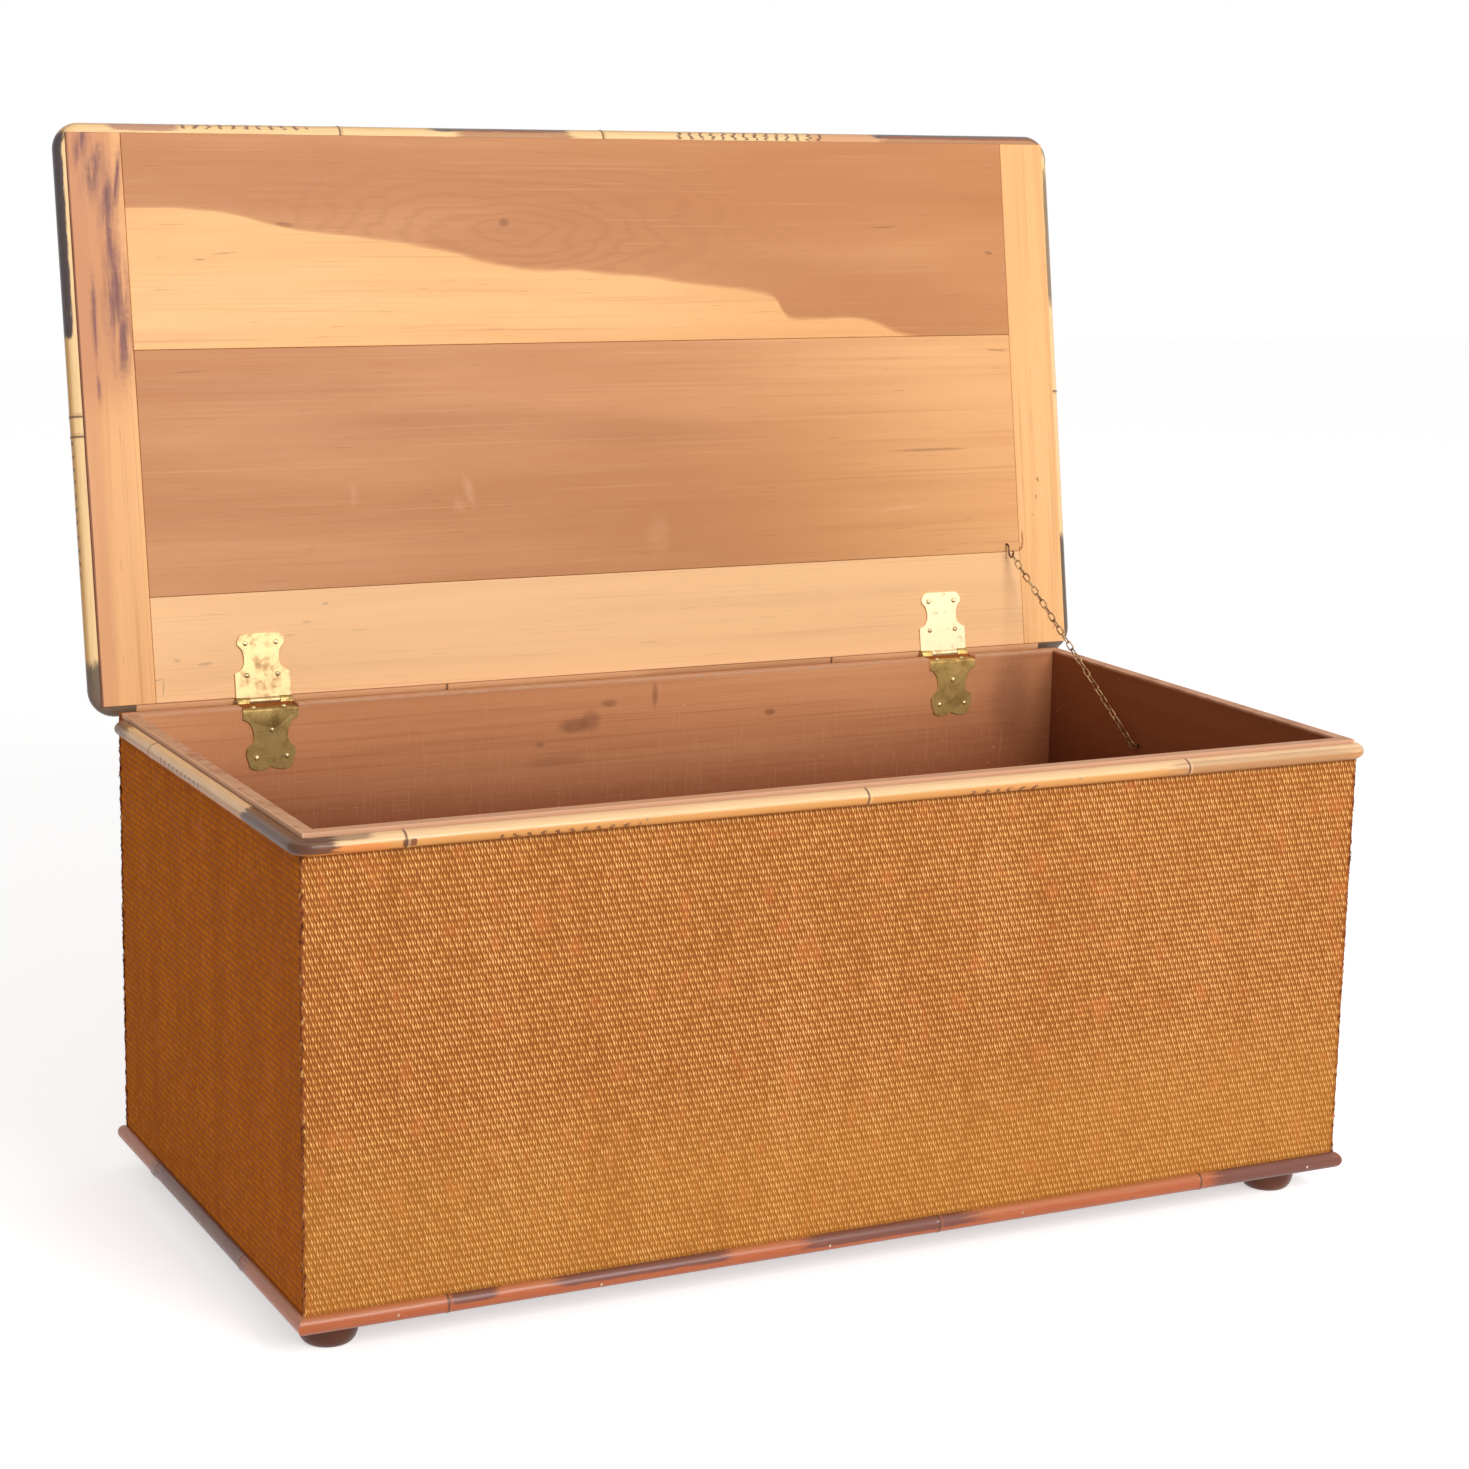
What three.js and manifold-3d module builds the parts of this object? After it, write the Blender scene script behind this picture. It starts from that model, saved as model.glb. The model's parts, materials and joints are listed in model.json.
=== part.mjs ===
// Blanket chest: a boarded case covered in woven matting and edged in half-round cane,
// with its clamped lid open past upright and held by a stay chain at the right-hand end.
// Millimetres, +Z up, front towards -Y. The origin is on the floor, under the middle of the open chest.

import * as THREE from 'three';
import { mergeVertices } from 'three/addons/utils/BufferGeometryUtils.js';
import Module from 'manifold-3d';

const wasm = await Module();
wasm.setup();

// Case, measured over the matting
const case_width = 1060;
const case_depth = 537;
const wall_height = 428;
const foot_height = 28.5;
const board_thickness = 13;
const bottom_thickness = 13;
const matting_thickness = 2.2;
const matting_drop = 5;

// Turned feet
const foot_radius = 26.5;
const left_foot_inset = 36;
const right_foot_inset = 46;
const foot_depth_inset = 44;

// Half-round cane edging
const top_cane_height = 15.3;
const top_cane_drop = 3.7;
const top_cane_depth = 10;
const top_bend_radius = 9;
const top_cane_stop = 20;
const bottom_cane_height = 16;
const bottom_cane_depth = 7;
const bottom_cane_drop = 2.5;
const lid_cane_height = 20;
const lid_cane_depth = 10;
const lid_cane_rise = 2;
const lid_bend_radius = 16;
const lid_cane_return = 34;
const cane_joint_spacing = 250;
const cane_joint_length = 3;
const cane_joint_swell = 0.8;
const mitre_gap = 0.2;
const trim_depth = 1;

// Lid
const lid_front_overhang = 11;
const lid_side_overhang = 14;
const lid_board_thickness = 18;
const cleat_width = 53;
const lid_lean_degrees = 9.65;
const lid_board_shares = [0.187, 0.434, 0.379];
const seat_gap = 0.3;

// Hinges
const left_hinge_inset = 146.5;
const right_hinge_inset = 143.5;
const leaf_width = 56;
const leaf_thickness = 1.5;
const leaf_gap = 0.4;
const lid_leaf_length = 66;
const box_leaf_drop = 61;
const box_leaf_sink = 4.6;
const nose_radius = 2.6;
const mortise_clearance = 0.8;
const barrel_radius = 3.2;
const barrel_clearance = 0.3;
const knuckle_gap = 0.3;
const outer_knuckle_share = 0.22;
const pin_radius = 1.5;
const pin_clearance = 0.08;
const pin_head_radius = 2.3;
const pin_head_length = 0.7;

// Screws
const screw_head_radius = 3;
const screw_head_height = 1.7;
const screw_shank_radius = 1.3;
const screw_length = 10;
const pilot_clearance = 0.25;
const flange_screw_setback = 11;

// Stay chain, its hook on the lid and its screw eye in the end board
const hook_inset = 56;
const hook_from_joint = 8;
const hook_drop = 10;
const hook_reach = 5;
const hook_bend_radius = 4;
const hook_bowl_radius = 4.5;
const hook_tip_length = 3;
const hook_wire_radius = 1;
const eye_from_back = 171.5;
const eye_drop = 70.8;
const eye_ring_radius = 4;
const eye_neck_length = 2;
const eye_wire_radius = 1;
const chain_wire_radius = 0.75;
const chain_link_width = 7;
const chain_link_pitch = 9.4;
const chain_fuse = 0.3;
const chain_split_gap = 0.5;
const chain_hang_clearance = 0.6;
const chain_upper_share = 0.43;

// Facet counts
const round_sides = 24;
const small_round_sides = 12;
const wire_sides = 6;
const cane_sides = 8;
const bend_steps = 6;
const curve_steps = 4;

// Places worked out from the sizes above
const wall_thickness = board_thickness + matting_thickness;
const wall_top = foot_height + wall_height;
const half_width = case_width / 2;
const half_depth = case_depth / 2;
const lid_leaf_face = leaf_gap / 2;
const lid_leaf_back = lid_leaf_face + leaf_thickness;
const flange_top = -box_leaf_sink;
const flange_bottom = flange_top - leaf_thickness;
const axis_y = half_depth + barrel_clearance + barrel_radius;
const axis_z = wall_top + lid_leaf_back;
const left_hinge_x = left_hinge_inset - half_width;
const right_hinge_x = half_width - right_hinge_inset;
const inner_face = barrel_radius + barrel_clearance + wall_thickness;
const leaf_root = pin_radius + pin_clearance + leaf_gap;
const open_angle = THREE.MathUtils.degToRad(90 + lid_lean_degrees);
const lid_underside = lid_leaf_back + seat_gap;
const lid_rear_edge = -(barrel_radius + 2 * barrel_clearance);
const lid_front_edge = -(axis_y + half_depth + lid_front_overhang);
const lid_half_width = half_width + lid_side_overhang;
const lid_panel_depth = lid_rear_edge - lid_front_edge;

const finishes = {
  stained_board: { color: 0xa5613f, roughness: 0.6, metalness: 0 },
  lid_board: { color: 0xdda878, roughness: 0.55, metalness: 0 },
  matting: { color: 0xb9803f, roughness: 0.85, metalness: 0 },
  pale_cane: { color: 0xe3b878, roughness: 0.35, metalness: 0 },
  dark_cane: { color: 0x8d4a2b, roughness: 0.35, metalness: 0 },
  turned_foot: { color: 0x6e3a1e, roughness: 0.3, metalness: 0 },
  bright_brass: { color: 0xe6d08a, roughness: 0.3, metalness: 1 },
  aged_brass: { color: 0x8d7a44, roughness: 0.4, metalness: 1 },
  chain_steel: { color: 0xa89a7c, roughness: 0.4, metalness: 1 },
};

const case_group = new THREE.Group();
const lid_group = new THREE.Group();
lid_group.position.set(0, axis_y, axis_z);
lid_group.rotation.x = -open_angle;

function addPiece(group, name, geometry, finish) {
  geometry.computeVertexNormals();
  const mesh = new THREE.Mesh(geometry, new THREE.MeshStandardMaterial(finishes[finish]));
  mesh.name = name;
  group.add(mesh);
}

// A closed geometry as a solid that can be joined and cut
function toSolid(geometry) {
  const bare = geometry.clone();
  bare.deleteAttribute('normal');
  bare.deleteAttribute('uv');
  const merged = mergeVertices(bare);
  const vertProperties = new Float32Array(merged.attributes.position.array);
  const triVerts = new Uint32Array(merged.index.array);
  return new wasm.Manifold(new wasm.Mesh({ numProp: 3, vertProperties, triVerts }));
}

function toGeometry(solid) {
  const mesh = solid.getMesh();
  const geometry = new THREE.BufferGeometry();
  geometry.setAttribute('position', new THREE.BufferAttribute(mesh.vertProperties, 3));
  geometry.setIndex(new THREE.BufferAttribute(mesh.triVerts, 1));
  return geometry;
}

function cutAll(geometry, cutters) {
  return toGeometry(cutters.reduce((solid, cutter) => solid.subtract(toSolid(cutter)), toSolid(geometry)));
}

function blockBetween(low, high) {
  const size = high.map((value, axis) => value - low[axis]);
  const middle = high.map((value, axis) => (value + low[axis]) / 2);
  return new THREE.BoxGeometry(...size).translate(...middle);
}

// A cylinder whose axis runs from one point to another
function rodBetween(start, end, radius, sides) {
  const along = end.clone().sub(start);
  const turn = new THREE.Quaternion().setFromUnitVectors(new THREE.Vector3(0, 1, 0), along.clone().normalize());
  const middle = start.clone().add(end).divideScalar(2);
  return new THREE.CylinderGeometry(radius, radius, along.length(), sides)
    .applyQuaternion(turn)
    .translate(middle.x, middle.y, middle.z);
}

// A turned shape about Z from [radius, height] pairs that start and end on the axis
function turned(profile, sides) {
  const points = profile.map(([radius, height]) => new THREE.Vector2(radius, height));
  return new THREE.LatheGeometry(points, sides).rotateX(Math.PI / 2);
}

// Outline in YZ drawn out along X, and outline in XZ drawn out along Y
const along_x = new THREE.Matrix4().makeBasis(
  new THREE.Vector3(0, 1, 0), new THREE.Vector3(0, 0, 1), new THREE.Vector3(1, 0, 0));
const along_y = new THREE.Matrix4().makeBasis(
  new THREE.Vector3(1, 0, 0), new THREE.Vector3(0, 0, 1), new THREE.Vector3(0, -1, 0));

function prism(shape, depth) {
  const options = { depth, bevelEnabled: false, curveSegments: curve_steps };
  return new THREE.ExtrudeGeometry(shape, options).translate(0, 0, -depth / 2);
}

// Case boards: front and back run the full length, the ends stand between them,
// and the bottom board lies inside all four
function addCaseBoards() {
  const x = half_width - matting_thickness;
  const y = half_depth - matting_thickness;
  const end_y = y - board_thickness;
  const end_x = x - board_thickness;
  const front = blockBetween([-x, -y, foot_height], [x, -end_y, wall_top]);
  const back = blockBetween([-x, end_y, foot_height], [x, y, wall_top]);
  const right = blockBetween([end_x, -end_y, foot_height], [x, end_y, wall_top]);
  const left = blockBetween([-x, -end_y, foot_height], [-end_x, end_y, wall_top]);
  const bottom = blockBetween([-end_x, -end_y, foot_height], [end_x, end_y, foot_height + bottom_thickness]);
  addPiece(case_group, 'front_board', front, 'stained_board');
  const hinge_cuts = [...hingeMortises(), ...caseScrewHoles()];
  addPiece(case_group, 'back_board', cutAll(back, hinge_cuts), 'stained_board');
  addPiece(case_group, 'right_end_board', cutAll(right, [eyeHole()]), 'stained_board');
  addPiece(case_group, 'left_end_board', left, 'stained_board');
  addPiece(case_group, 'bottom_board', bottom, 'stained_board');
}

// Matting is glued over the outside of the boards, the long panels lapping the short ones. At the
// front and ends it stops behind the top cane, below the rim.
function addCaseMatting() {
  const x = half_width;
  const y = half_depth;
  const inner_x = x - matting_thickness;
  const inner_y = y - matting_thickness;
  const top = wall_top - matting_drop;
  const panels = {
    front_matting: blockBetween([-x, -y, foot_height], [x, -inner_y, top]),
    back_matting: cutAll(blockBetween([-x, inner_y, foot_height], [x, y, wall_top]), hingeMortises()),
    right_matting: blockBetween([inner_x, -inner_y, foot_height], [x, inner_y, top]),
    left_matting: blockBetween([-x, -inner_y, foot_height], [-inner_x, inner_y, top]),
  };
  Object.entries(panels).forEach(([name, panel]) => addPiece(case_group, name, panel, 'matting'));
}

// Places along a length of cane that follows the given corners, bent round each inner one.
// Every joint of the cane stands out as a low ring.
function caneStations(corners, bend_radius) {
  const stations = [];
  const legs = corners.length - 1;
  for (let leg = 0; leg < legs; leg += 1) {
    const start = corners[leg];
    const end = corners[leg + 1];
    const along = end.clone().sub(start).normalize();
    const outward = new THREE.Vector2(along.y, -along.x);
    const trim_start = leg === 0 ? 0 : bend_radius;
    const trim_end = leg === legs - 1 ? 0 : bend_radius;
    const length = start.distanceTo(end) - trim_start - trim_end;
    const addStation = (distance, swell) => {
      const place = start.clone().addScaledVector(along, trim_start + distance);
      stations.push({ place, along, outward, swell });
    };
    addStation(0, 0);
    const joints = Math.floor(length / cane_joint_spacing);
    for (let joint = 0; joint < joints; joint += 1) {
      const middle = (length * (joint + 0.5)) / joints;
      addStation(middle - cane_joint_length, 0);
      addStation(middle, cane_joint_swell);
      addStation(middle + cane_joint_length, 0);
    }
    addStation(length, 0);
    if (trim_end === 0) continue;
    const centre = end.clone().addScaledVector(along, -bend_radius).addScaledVector(outward, -bend_radius);
    for (let step = 1; step < bend_steps; step += 1) {
      const angle = (Math.PI / 2) * (step / bend_steps);
      const facing = outward.clone().rotateAround(new THREE.Vector2(), angle);
      const place = centre.clone().addScaledVector(facing, bend_radius);
      stations.push({ place, along, outward: facing, swell: 0 });
    }
  }
  return stations;
}

// Half-round section swept through the stations; its flat back lies trim_depth behind them.
// A mitred end leans along the cane by as much as it stands out.
function caneGeometry(stations, height, depth, mitre) {
  const positions = [];
  const last = stations.length - 1;
  stations.forEach(({ place, along, outward, swell }, index) => {
    const half = height / 2 + swell;
    const section = [[-trim_depth, -half]];
    for (let side = 0; side <= cane_sides; side += 1) {
      const angle = Math.PI * (side / cane_sides - 0.5);
      section.push([(depth + swell) * Math.cos(angle), half * Math.sin(angle)]);
    }
    section.push([-trim_depth, half]);
    const lean = mitre * (Number(index === last) - Number(index === 0));
    section.forEach(([out, up]) => {
      positions.push(place.x + outward.x * out + along.x * out * lean);
      positions.push(place.y + outward.y * out + along.y * out * lean);
      positions.push(up);
    });
  });
  const ring = cane_sides + 3;
  const indices = [];
  for (let index = 0; index < last; index += 1) {
    for (let point = 0; point < ring; point += 1) {
      const next = (point + 1) % ring;
      const here = index * ring;
      const there = here + ring;
      indices.push(here + point, there + next, here + next);
      indices.push(here + point, there + point, there + next);
    }
  }
  const far = last * ring;
  for (let point = 1; point < ring - 1; point += 1) {
    indices.push(0, point, point + 1);
    indices.push(far, far + point + 1, far + point);
  }
  const geometry = new THREE.BufferGeometry();
  geometry.setAttribute('position', new THREE.Float32BufferAttribute(positions, 3));
  geometry.setIndex(indices);
  return geometry;
}

// One length of pale cane bent round the front corners just below the rim of the case, with both
// its ends short of the back corners
function addTopCane() {
  const end_y = half_depth - top_cane_stop;
  const corners = [[-half_width, end_y], [-half_width, -half_depth], [half_width, -half_depth],
    [half_width, end_y]].map(([x, y]) => new THREE.Vector2(x, y));
  const cane = caneGeometry(caneStations(corners, top_bend_radius), top_cane_height, top_cane_depth, 0)
    .translate(0, 0, wall_top - top_cane_drop - top_cane_height / 2);
  const inside = blockBetween([-half_width, -half_depth, 0], [half_width, half_depth, 2 * wall_top]);
  addPiece(case_group, 'top_cane', cutAll(cane, [inside]), 'pale_cane');
}

// Four lengths of dark cane round the foot of the case, mitred at the corners
function addBottomCane() {
  const x = half_width - mitre_gap;
  const y = half_depth - mitre_gap;
  const sides = {
    front_bottom_cane: [[-x, -half_depth], [x, -half_depth]],
    right_bottom_cane: [[half_width, -y], [half_width, y]],
    back_bottom_cane: [[x, half_depth], [-x, half_depth]],
    left_bottom_cane: [[-half_width, y], [-half_width, -y]],
  };
  const inside = blockBetween([-half_width, -half_depth, 0], [half_width, half_depth, wall_top]);
  Object.entries(sides).forEach(([name, ends]) => {
    const corners = ends.map(([end_x, end_y]) => new THREE.Vector2(end_x, end_y));
    const cane = caneGeometry(caneStations(corners, 0), bottom_cane_height, bottom_cane_depth, 1)
      .translate(0, 0, foot_height - bottom_cane_drop + bottom_cane_height / 2);
    addPiece(case_group, name, cutAll(cane, [inside]), 'dark_cane');
  });
}

// Turned bun feet, flat underneath and glued flat to the bottom board, the right-hand pair set
// further in than the left
function addFeet() {
  const profile = [
    [0, 0], [0.75, 0], [0.94, 0.16], [1, 0.42], [0.95, 0.68], [0.78, 0.86], [0.74, 1], [0, 1],
  ].map(([radius_share, height_share]) => [radius_share * foot_radius, height_share * foot_height]);
  [['front', -1], ['back', 1]].forEach(([row, side_y]) => {
    [['left', left_foot_inset - half_width], ['right', half_width - right_foot_inset]].forEach(([end, x]) => {
      const y = side_y * (half_depth - foot_depth_inset);
      const foot = turned(profile, round_sides).translate(x, y, 0);
      addPiece(case_group, `${row}_${end}_foot`, foot, 'turned_foot');
    });
  });
}

// Lid in its closed place, its hinge axis on the group's X axis: three long boards held flat by
// a clamp board across each end, with a seat gap at every joint
function addLidBoards() {
  const top = lid_underside + lid_board_thickness;
  const clamp_x = lid_half_width - cleat_width;
  const board_x = clamp_x - seat_gap;
  const names = ['lid_rear_board', 'lid_middle_board', 'lid_front_board'];
  const holes = { lid_rear_board: lidScrewHoles(), lid_middle_board: [hookHole()], lid_front_board: [] };
  let back = lid_rear_edge;
  names.forEach((name, index) => {
    const front = back - lid_panel_depth * lid_board_shares[index];
    const front_gap = index === names.length - 1 ? 0 : seat_gap;
    const board = blockBetween([-board_x, front + front_gap, lid_underside], [board_x, back, top]);
    addPiece(lid_group, name, cutAll(board, holes[name]), 'lid_board');
    back = front;
  });
  const left = blockBetween([-lid_half_width, back, lid_underside], [-clamp_x, lid_rear_edge, top]);
  const right = blockBetween([clamp_x, back, lid_underside], [lid_half_width, lid_rear_edge, top]);
  addPiece(lid_group, 'lid_left_clamp_board', left, 'lid_board');
  addPiece(lid_group, 'lid_right_clamp_board', right, 'lid_board');
}

function addLidMatting() {
  const low = lid_underside + lid_board_thickness + seat_gap;
  const panel = blockBetween(
    [-lid_half_width, lid_front_edge, low],
    [lid_half_width, lid_rear_edge, low + matting_thickness]);
  addPiece(lid_group, 'lid_matting', panel, 'matting');
}

// Pale cane round the lid: one length bent round all four corners, and a straight one that
// closes the gap along the hinge side
function addLidCane() {
  const x = lid_half_width + seat_gap;
  const back = lid_rear_edge + seat_gap;
  const front = lid_front_edge - seat_gap;
  const inside = blockBetween([-x, front, -case_depth], [x, back, case_depth]);
  const lift = lid_underside + lid_cane_rise + lid_cane_height / 2;
  const lengths = {
    lid_cane: [[-x + lid_cane_return, back], [-x, back], [-x, front], [x, front], [x, back],
      [x - lid_cane_return, back]],
    lid_rear_cane: [[x - lid_cane_return - seat_gap, back], [-x + lid_cane_return + seat_gap, back]],
  };
  Object.entries(lengths).forEach(([name, places]) => {
    const corners = places.map(([place_x, place_y]) => new THREE.Vector2(place_x, place_y));
    const cane = caneGeometry(caneStations(corners, lid_bend_radius), lid_cane_height, lid_cane_depth, 0)
      .translate(0, 0, lift);
    addPiece(lid_group, name, cutAll(cane, [inside]), 'pale_cane');
  });
}

// Leaf outlines: half of each, as shares of the leaf's width and length, from the barrel outwards.
// Each entry is a straight line to a point, or a curve by way of a control point.
const lid_leaf_shares = [
  [0.5, -0.1], [0.5, 0.42], [0.34, 0.46, 0.32, 0.57], [0.32, 0.66], [0.33, 0.77, 0.41, 0.82],
  [0.45, 0.87, 0.41, 0.93], [0.37, 1, 0.28, 1],
];
const box_leaf_shares = [
  [0.5, -0.2], [0.5, 0.16], [0.33, 0.19, 0.305, 0.44], [0.3, 0.56, 0.42, 0.62], [0.46, 0.66, 0.44, 0.76],
  [0.4, 0.88], [0.38, 1, 0.24, 1], [0.1, 1, 0, 0.94],
];

function leafOutline(shares, width, length) {
  const steps = shares.map((step) => step.map((share, index) => share * (index % 2 ? length : width)));
  const shape = new THREE.Shape();
  shape.moveTo(...steps[0]);
  steps.slice(1).forEach((step) => {
    if (step.length === 2) shape.lineTo(...step);
    else shape.quadraticCurveTo(...step);
  });
  const right = shape.getPoints(curve_steps);
  const left = right.map((point) => new THREE.Vector2(-point.x, point.y)).reverse();
  const joined = right[right.length - 1].x === 0 ? left.slice(1) : left;
  return new THREE.Shape([...right, ...joined]);
}

// Barrel stretches as [start, end] along X: the box leaf has the two outer knuckles
const knuckle_end = leaf_width / 2;
const knuckle_inner = leaf_width * (0.5 - outer_knuckle_share);
const outer_knuckles = [[-knuckle_end, -knuckle_inner], [knuckle_inner, knuckle_end]];
const middle_knuckles = [[-knuckle_inner + knuckle_gap, knuckle_inner - knuckle_gap]];

function barrelRod(from_x, to_x, radius) {
  return rodBetween(new THREE.Vector3(from_x, 0, 0), new THREE.Vector3(to_x, 0, 0), radius, round_sides);
}

// The plate is cut to its outline, cleared for the other leaf's knuckles, and joined to its own
function leafGeometry(plate, outline, own_knuckles, other_knuckles, screw_cutters, roots = []) {
  let leaf = toSolid(plate).intersect(toSolid(outline));
  other_knuckles.forEach(([from_x, to_x]) => {
    const room = barrelRod(from_x - knuckle_gap, to_x + knuckle_gap, barrel_radius + knuckle_gap);
    leaf = leaf.subtract(toSolid(room));
  });
  own_knuckles.forEach(([from_x, to_x]) => {
    leaf = leaf.add(toSolid(barrelRod(from_x, to_x, barrel_radius)));
  });
  roots.forEach((root) => {
    leaf = leaf.add(toSolid(root));
  });
  const bore = barrelRod(-leaf_width, leaf_width, pin_radius + pin_clearance);
  return cutAll(toGeometry(leaf), [bore, ...screw_cutters]);
}

// Lid leaf in the closed place: a flat plate against the lid's underside
function lidLeaf() {
  const plate = blockBetween(
    [-leaf_width / 2, -lid_leaf_length, lid_leaf_face], [leaf_width / 2, -leaf_root, lid_leaf_back]);
  const outline = prism(leafOutline(lid_leaf_shares, leaf_width, -lid_leaf_length), 2 * barrel_radius);
  const cutters = lidScrewPlaces().map(([x, y]) => screwShank(screw_length)
    .translate(x, y, lid_leaf_face));
  return leafGeometry(plate, outline, middle_knuckles, outer_knuckles, cutters);
}

// Box leaf: from under the barrel over the back wall, in a mortise in its top edge, and down its
// inner face past a rounded nose. Only its own knuckles reach up to the pin.
function boxLeaf() {
  const face = -inner_face - leaf_thickness;
  const shape = new THREE.Shape();
  shape.moveTo(-leaf_root, flange_bottom);
  shape.lineTo(-inner_face, flange_bottom);
  shape.lineTo(-inner_face, flange_top - box_leaf_drop);
  shape.lineTo(face, flange_top - box_leaf_drop);
  shape.lineTo(face, flange_top - nose_radius);
  shape.quadraticCurveTo(face, flange_top, face + nose_radius, flange_top);
  shape.lineTo(-leaf_root, flange_top);
  const strip = prism(shape, leaf_width).applyMatrix4(along_x);
  const outline = prism(leafOutline(box_leaf_shares, leaf_width, -box_leaf_drop), 4 * inner_face)
    .applyMatrix4(along_y)
    .translate(0, 0, flange_top);
  const cutters = [
    ...plateScrewPlaces().map(([x, z]) => plateScrewHole(x, z)),
    ...flangeScrewPlaces().map(([x, y]) => flangeScrewHole(x, y)),
  ];
  const roots = outer_knuckles.map(([from_x, to_x]) => blockBetween(
    [from_x, -leaf_root - leaf_thickness, flange_bottom], [to_x, leaf_thickness, 0]));
  return leafGeometry(strip, outline, outer_knuckles, middle_knuckles, cutters, roots);
}

// Screw places on each leaf, from the middle of its barrel
const lid_screw_shares = [[-0.28, 0.38], [0.28, 0.38], [-0.28, 0.855], [0.28, 0.855]];
const plate_screw_shares = [[0.02, 0.35], [-0.26, 0.79], [0.29, 0.79]];
const flange_screw_shares = [-0.26, 0.29];

function lidScrewPlaces() {
  return lid_screw_shares.map(([across, out]) => [across * leaf_width, -out * lid_leaf_length]);
}

function plateScrewPlaces() {
  return plate_screw_shares.map(([across, down]) => [across * leaf_width, flange_top - down * box_leaf_drop]);
}

function flangeScrewPlaces() {
  return flange_screw_shares.map((across) => [across * leaf_width, -flange_screw_setback]);
}

// Round-headed screw pointing up +Z, its head's flat face at z = 0
function roundScrew() {
  const head = [[0, -1], [0.45, -0.88], [0.85, -0.5], [1, 0]]
    .map(([radius_share, height_share]) => [radius_share * screw_head_radius, height_share * screw_head_height]);
  const tip = screw_length - screw_shank_radius;
  const shank = [[screw_shank_radius, 0], [screw_shank_radius, tip], [0, screw_length]];
  return turned([...head, ...shank], small_round_sides);
}

// Straight hole for a round-headed screw, through a leaf and into the board behind it
function screwShank(depth) {
  const start = new THREE.Vector3(0, 0, -depth);
  const end = new THREE.Vector3(0, 0, depth + screw_shank_radius);
  return rodBetween(start, end, screw_shank_radius + pilot_clearance, small_round_sides);
}

function plateScrewHole(x, z) {
  return screwShank(screw_length).rotateX(-Math.PI / 2).translate(x, -inner_face - leaf_thickness, z);
}

function flangeScrewHole(x, y) {
  return screwShank(screw_length).rotateX(Math.PI).translate(x, y, flange_top);
}

function lidScrewHoles() {
  return [left_hinge_x, right_hinge_x].flatMap((hinge) => lidScrewPlaces()
    .map(([x, y]) => screwShank(screw_length).translate(hinge + x, y, lid_leaf_face)));
}

// Room for the box leaves in the top edge of the back wall, open at the back
function hingeMortises() {
  const half = leaf_width / 2 + mortise_clearance;
  return [left_hinge_x, right_hinge_x].map((hinge) => blockBetween(
    [hinge - half, axis_y - 2 * inner_face, axis_z + flange_bottom], [hinge + half, axis_y, 2 * wall_top]));
}

function caseScrewHoles() {
  return [left_hinge_x, right_hinge_x].flatMap((hinge) => [
    ...plateScrewPlaces().map(([x, z]) => plateScrewHole(x, z)),
    ...flangeScrewPlaces().map(([x, y]) => flangeScrewHole(x, y)),
  ].map((hole) => hole.translate(hinge, axis_y, axis_z)));
}

// Hinge pin with a small head at each end
function hingePin() {
  const half = leaf_width / 2 + pin_clearance;
  const end = half + pin_head_length;
  const profile = [
    [0, -end], [pin_head_radius, -end], [pin_head_radius, -half], [pin_radius, -half],
    [pin_radius, half], [pin_head_radius, half], [pin_head_radius, end], [0, end],
  ];
  return turned(profile, round_sides).rotateY(Math.PI / 2);
}

function addHinges() {
  [['left', left_hinge_x], ['right', right_hinge_x]].forEach(([side, x]) => {
    const onCase = (name, geometry, finish) => addPiece(
      case_group, `${side}_hinge_${name}`, geometry.translate(x, axis_y, axis_z), finish);
    const onLid = (name, geometry, finish) => addPiece(
      lid_group, `${side}_hinge_${name}`, geometry.translate(x, 0, 0), finish);
    onLid('lid_leaf', lidLeaf(), 'bright_brass');
    onCase('box_leaf', boxLeaf(), 'aged_brass');
    onCase('pin', hingePin(), 'aged_brass');
    lidScrewPlaces().forEach(([screw_x, screw_y], index) => {
      const screw = roundScrew().translate(screw_x, screw_y, lid_leaf_face - seat_gap);
      onLid(`lid_screw_${index + 1}`, screw, 'bright_brass');
    });
    plateScrewPlaces().forEach(([screw_x, screw_z], index) => {
      const screw = roundScrew().rotateX(-Math.PI / 2)
        .translate(screw_x, -inner_face - leaf_thickness, screw_z);
      onCase(`plate_screw_${index + 1}`, screw, 'bright_brass');
    });
    flangeScrewPlaces().forEach(([screw_x, screw_y], index) => {
      const screw = roundScrew().rotateX(Math.PI).translate(screw_x, screw_y, flange_top);
      onCase(`flange_screw_${index + 1}`, screw, 'bright_brass');
    });
  });
}

// Lid hook in the closed place: a wire that leaves the board, turns towards the hinge and
// curls back up as a bowl for the chain. The bowl's centre is where the upper run swings.
const hook_x = half_width - hook_inset;
const hook_y = lid_rear_edge - lid_panel_depth * lid_board_shares[0] - hook_from_joint;
const hook_bowl_y = hook_y + hook_drop;
const hook_bowl_z = lid_underside - hook_reach - hook_bowl_radius;

function hookHole() {
  const start = new THREE.Vector3(hook_x, hook_y, 0);
  const end = new THREE.Vector3(hook_x, hook_y, lid_underside + screw_length + pilot_clearance);
  return rodBetween(start, end, hook_wire_radius + pilot_clearance, small_round_sides);
}

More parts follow.
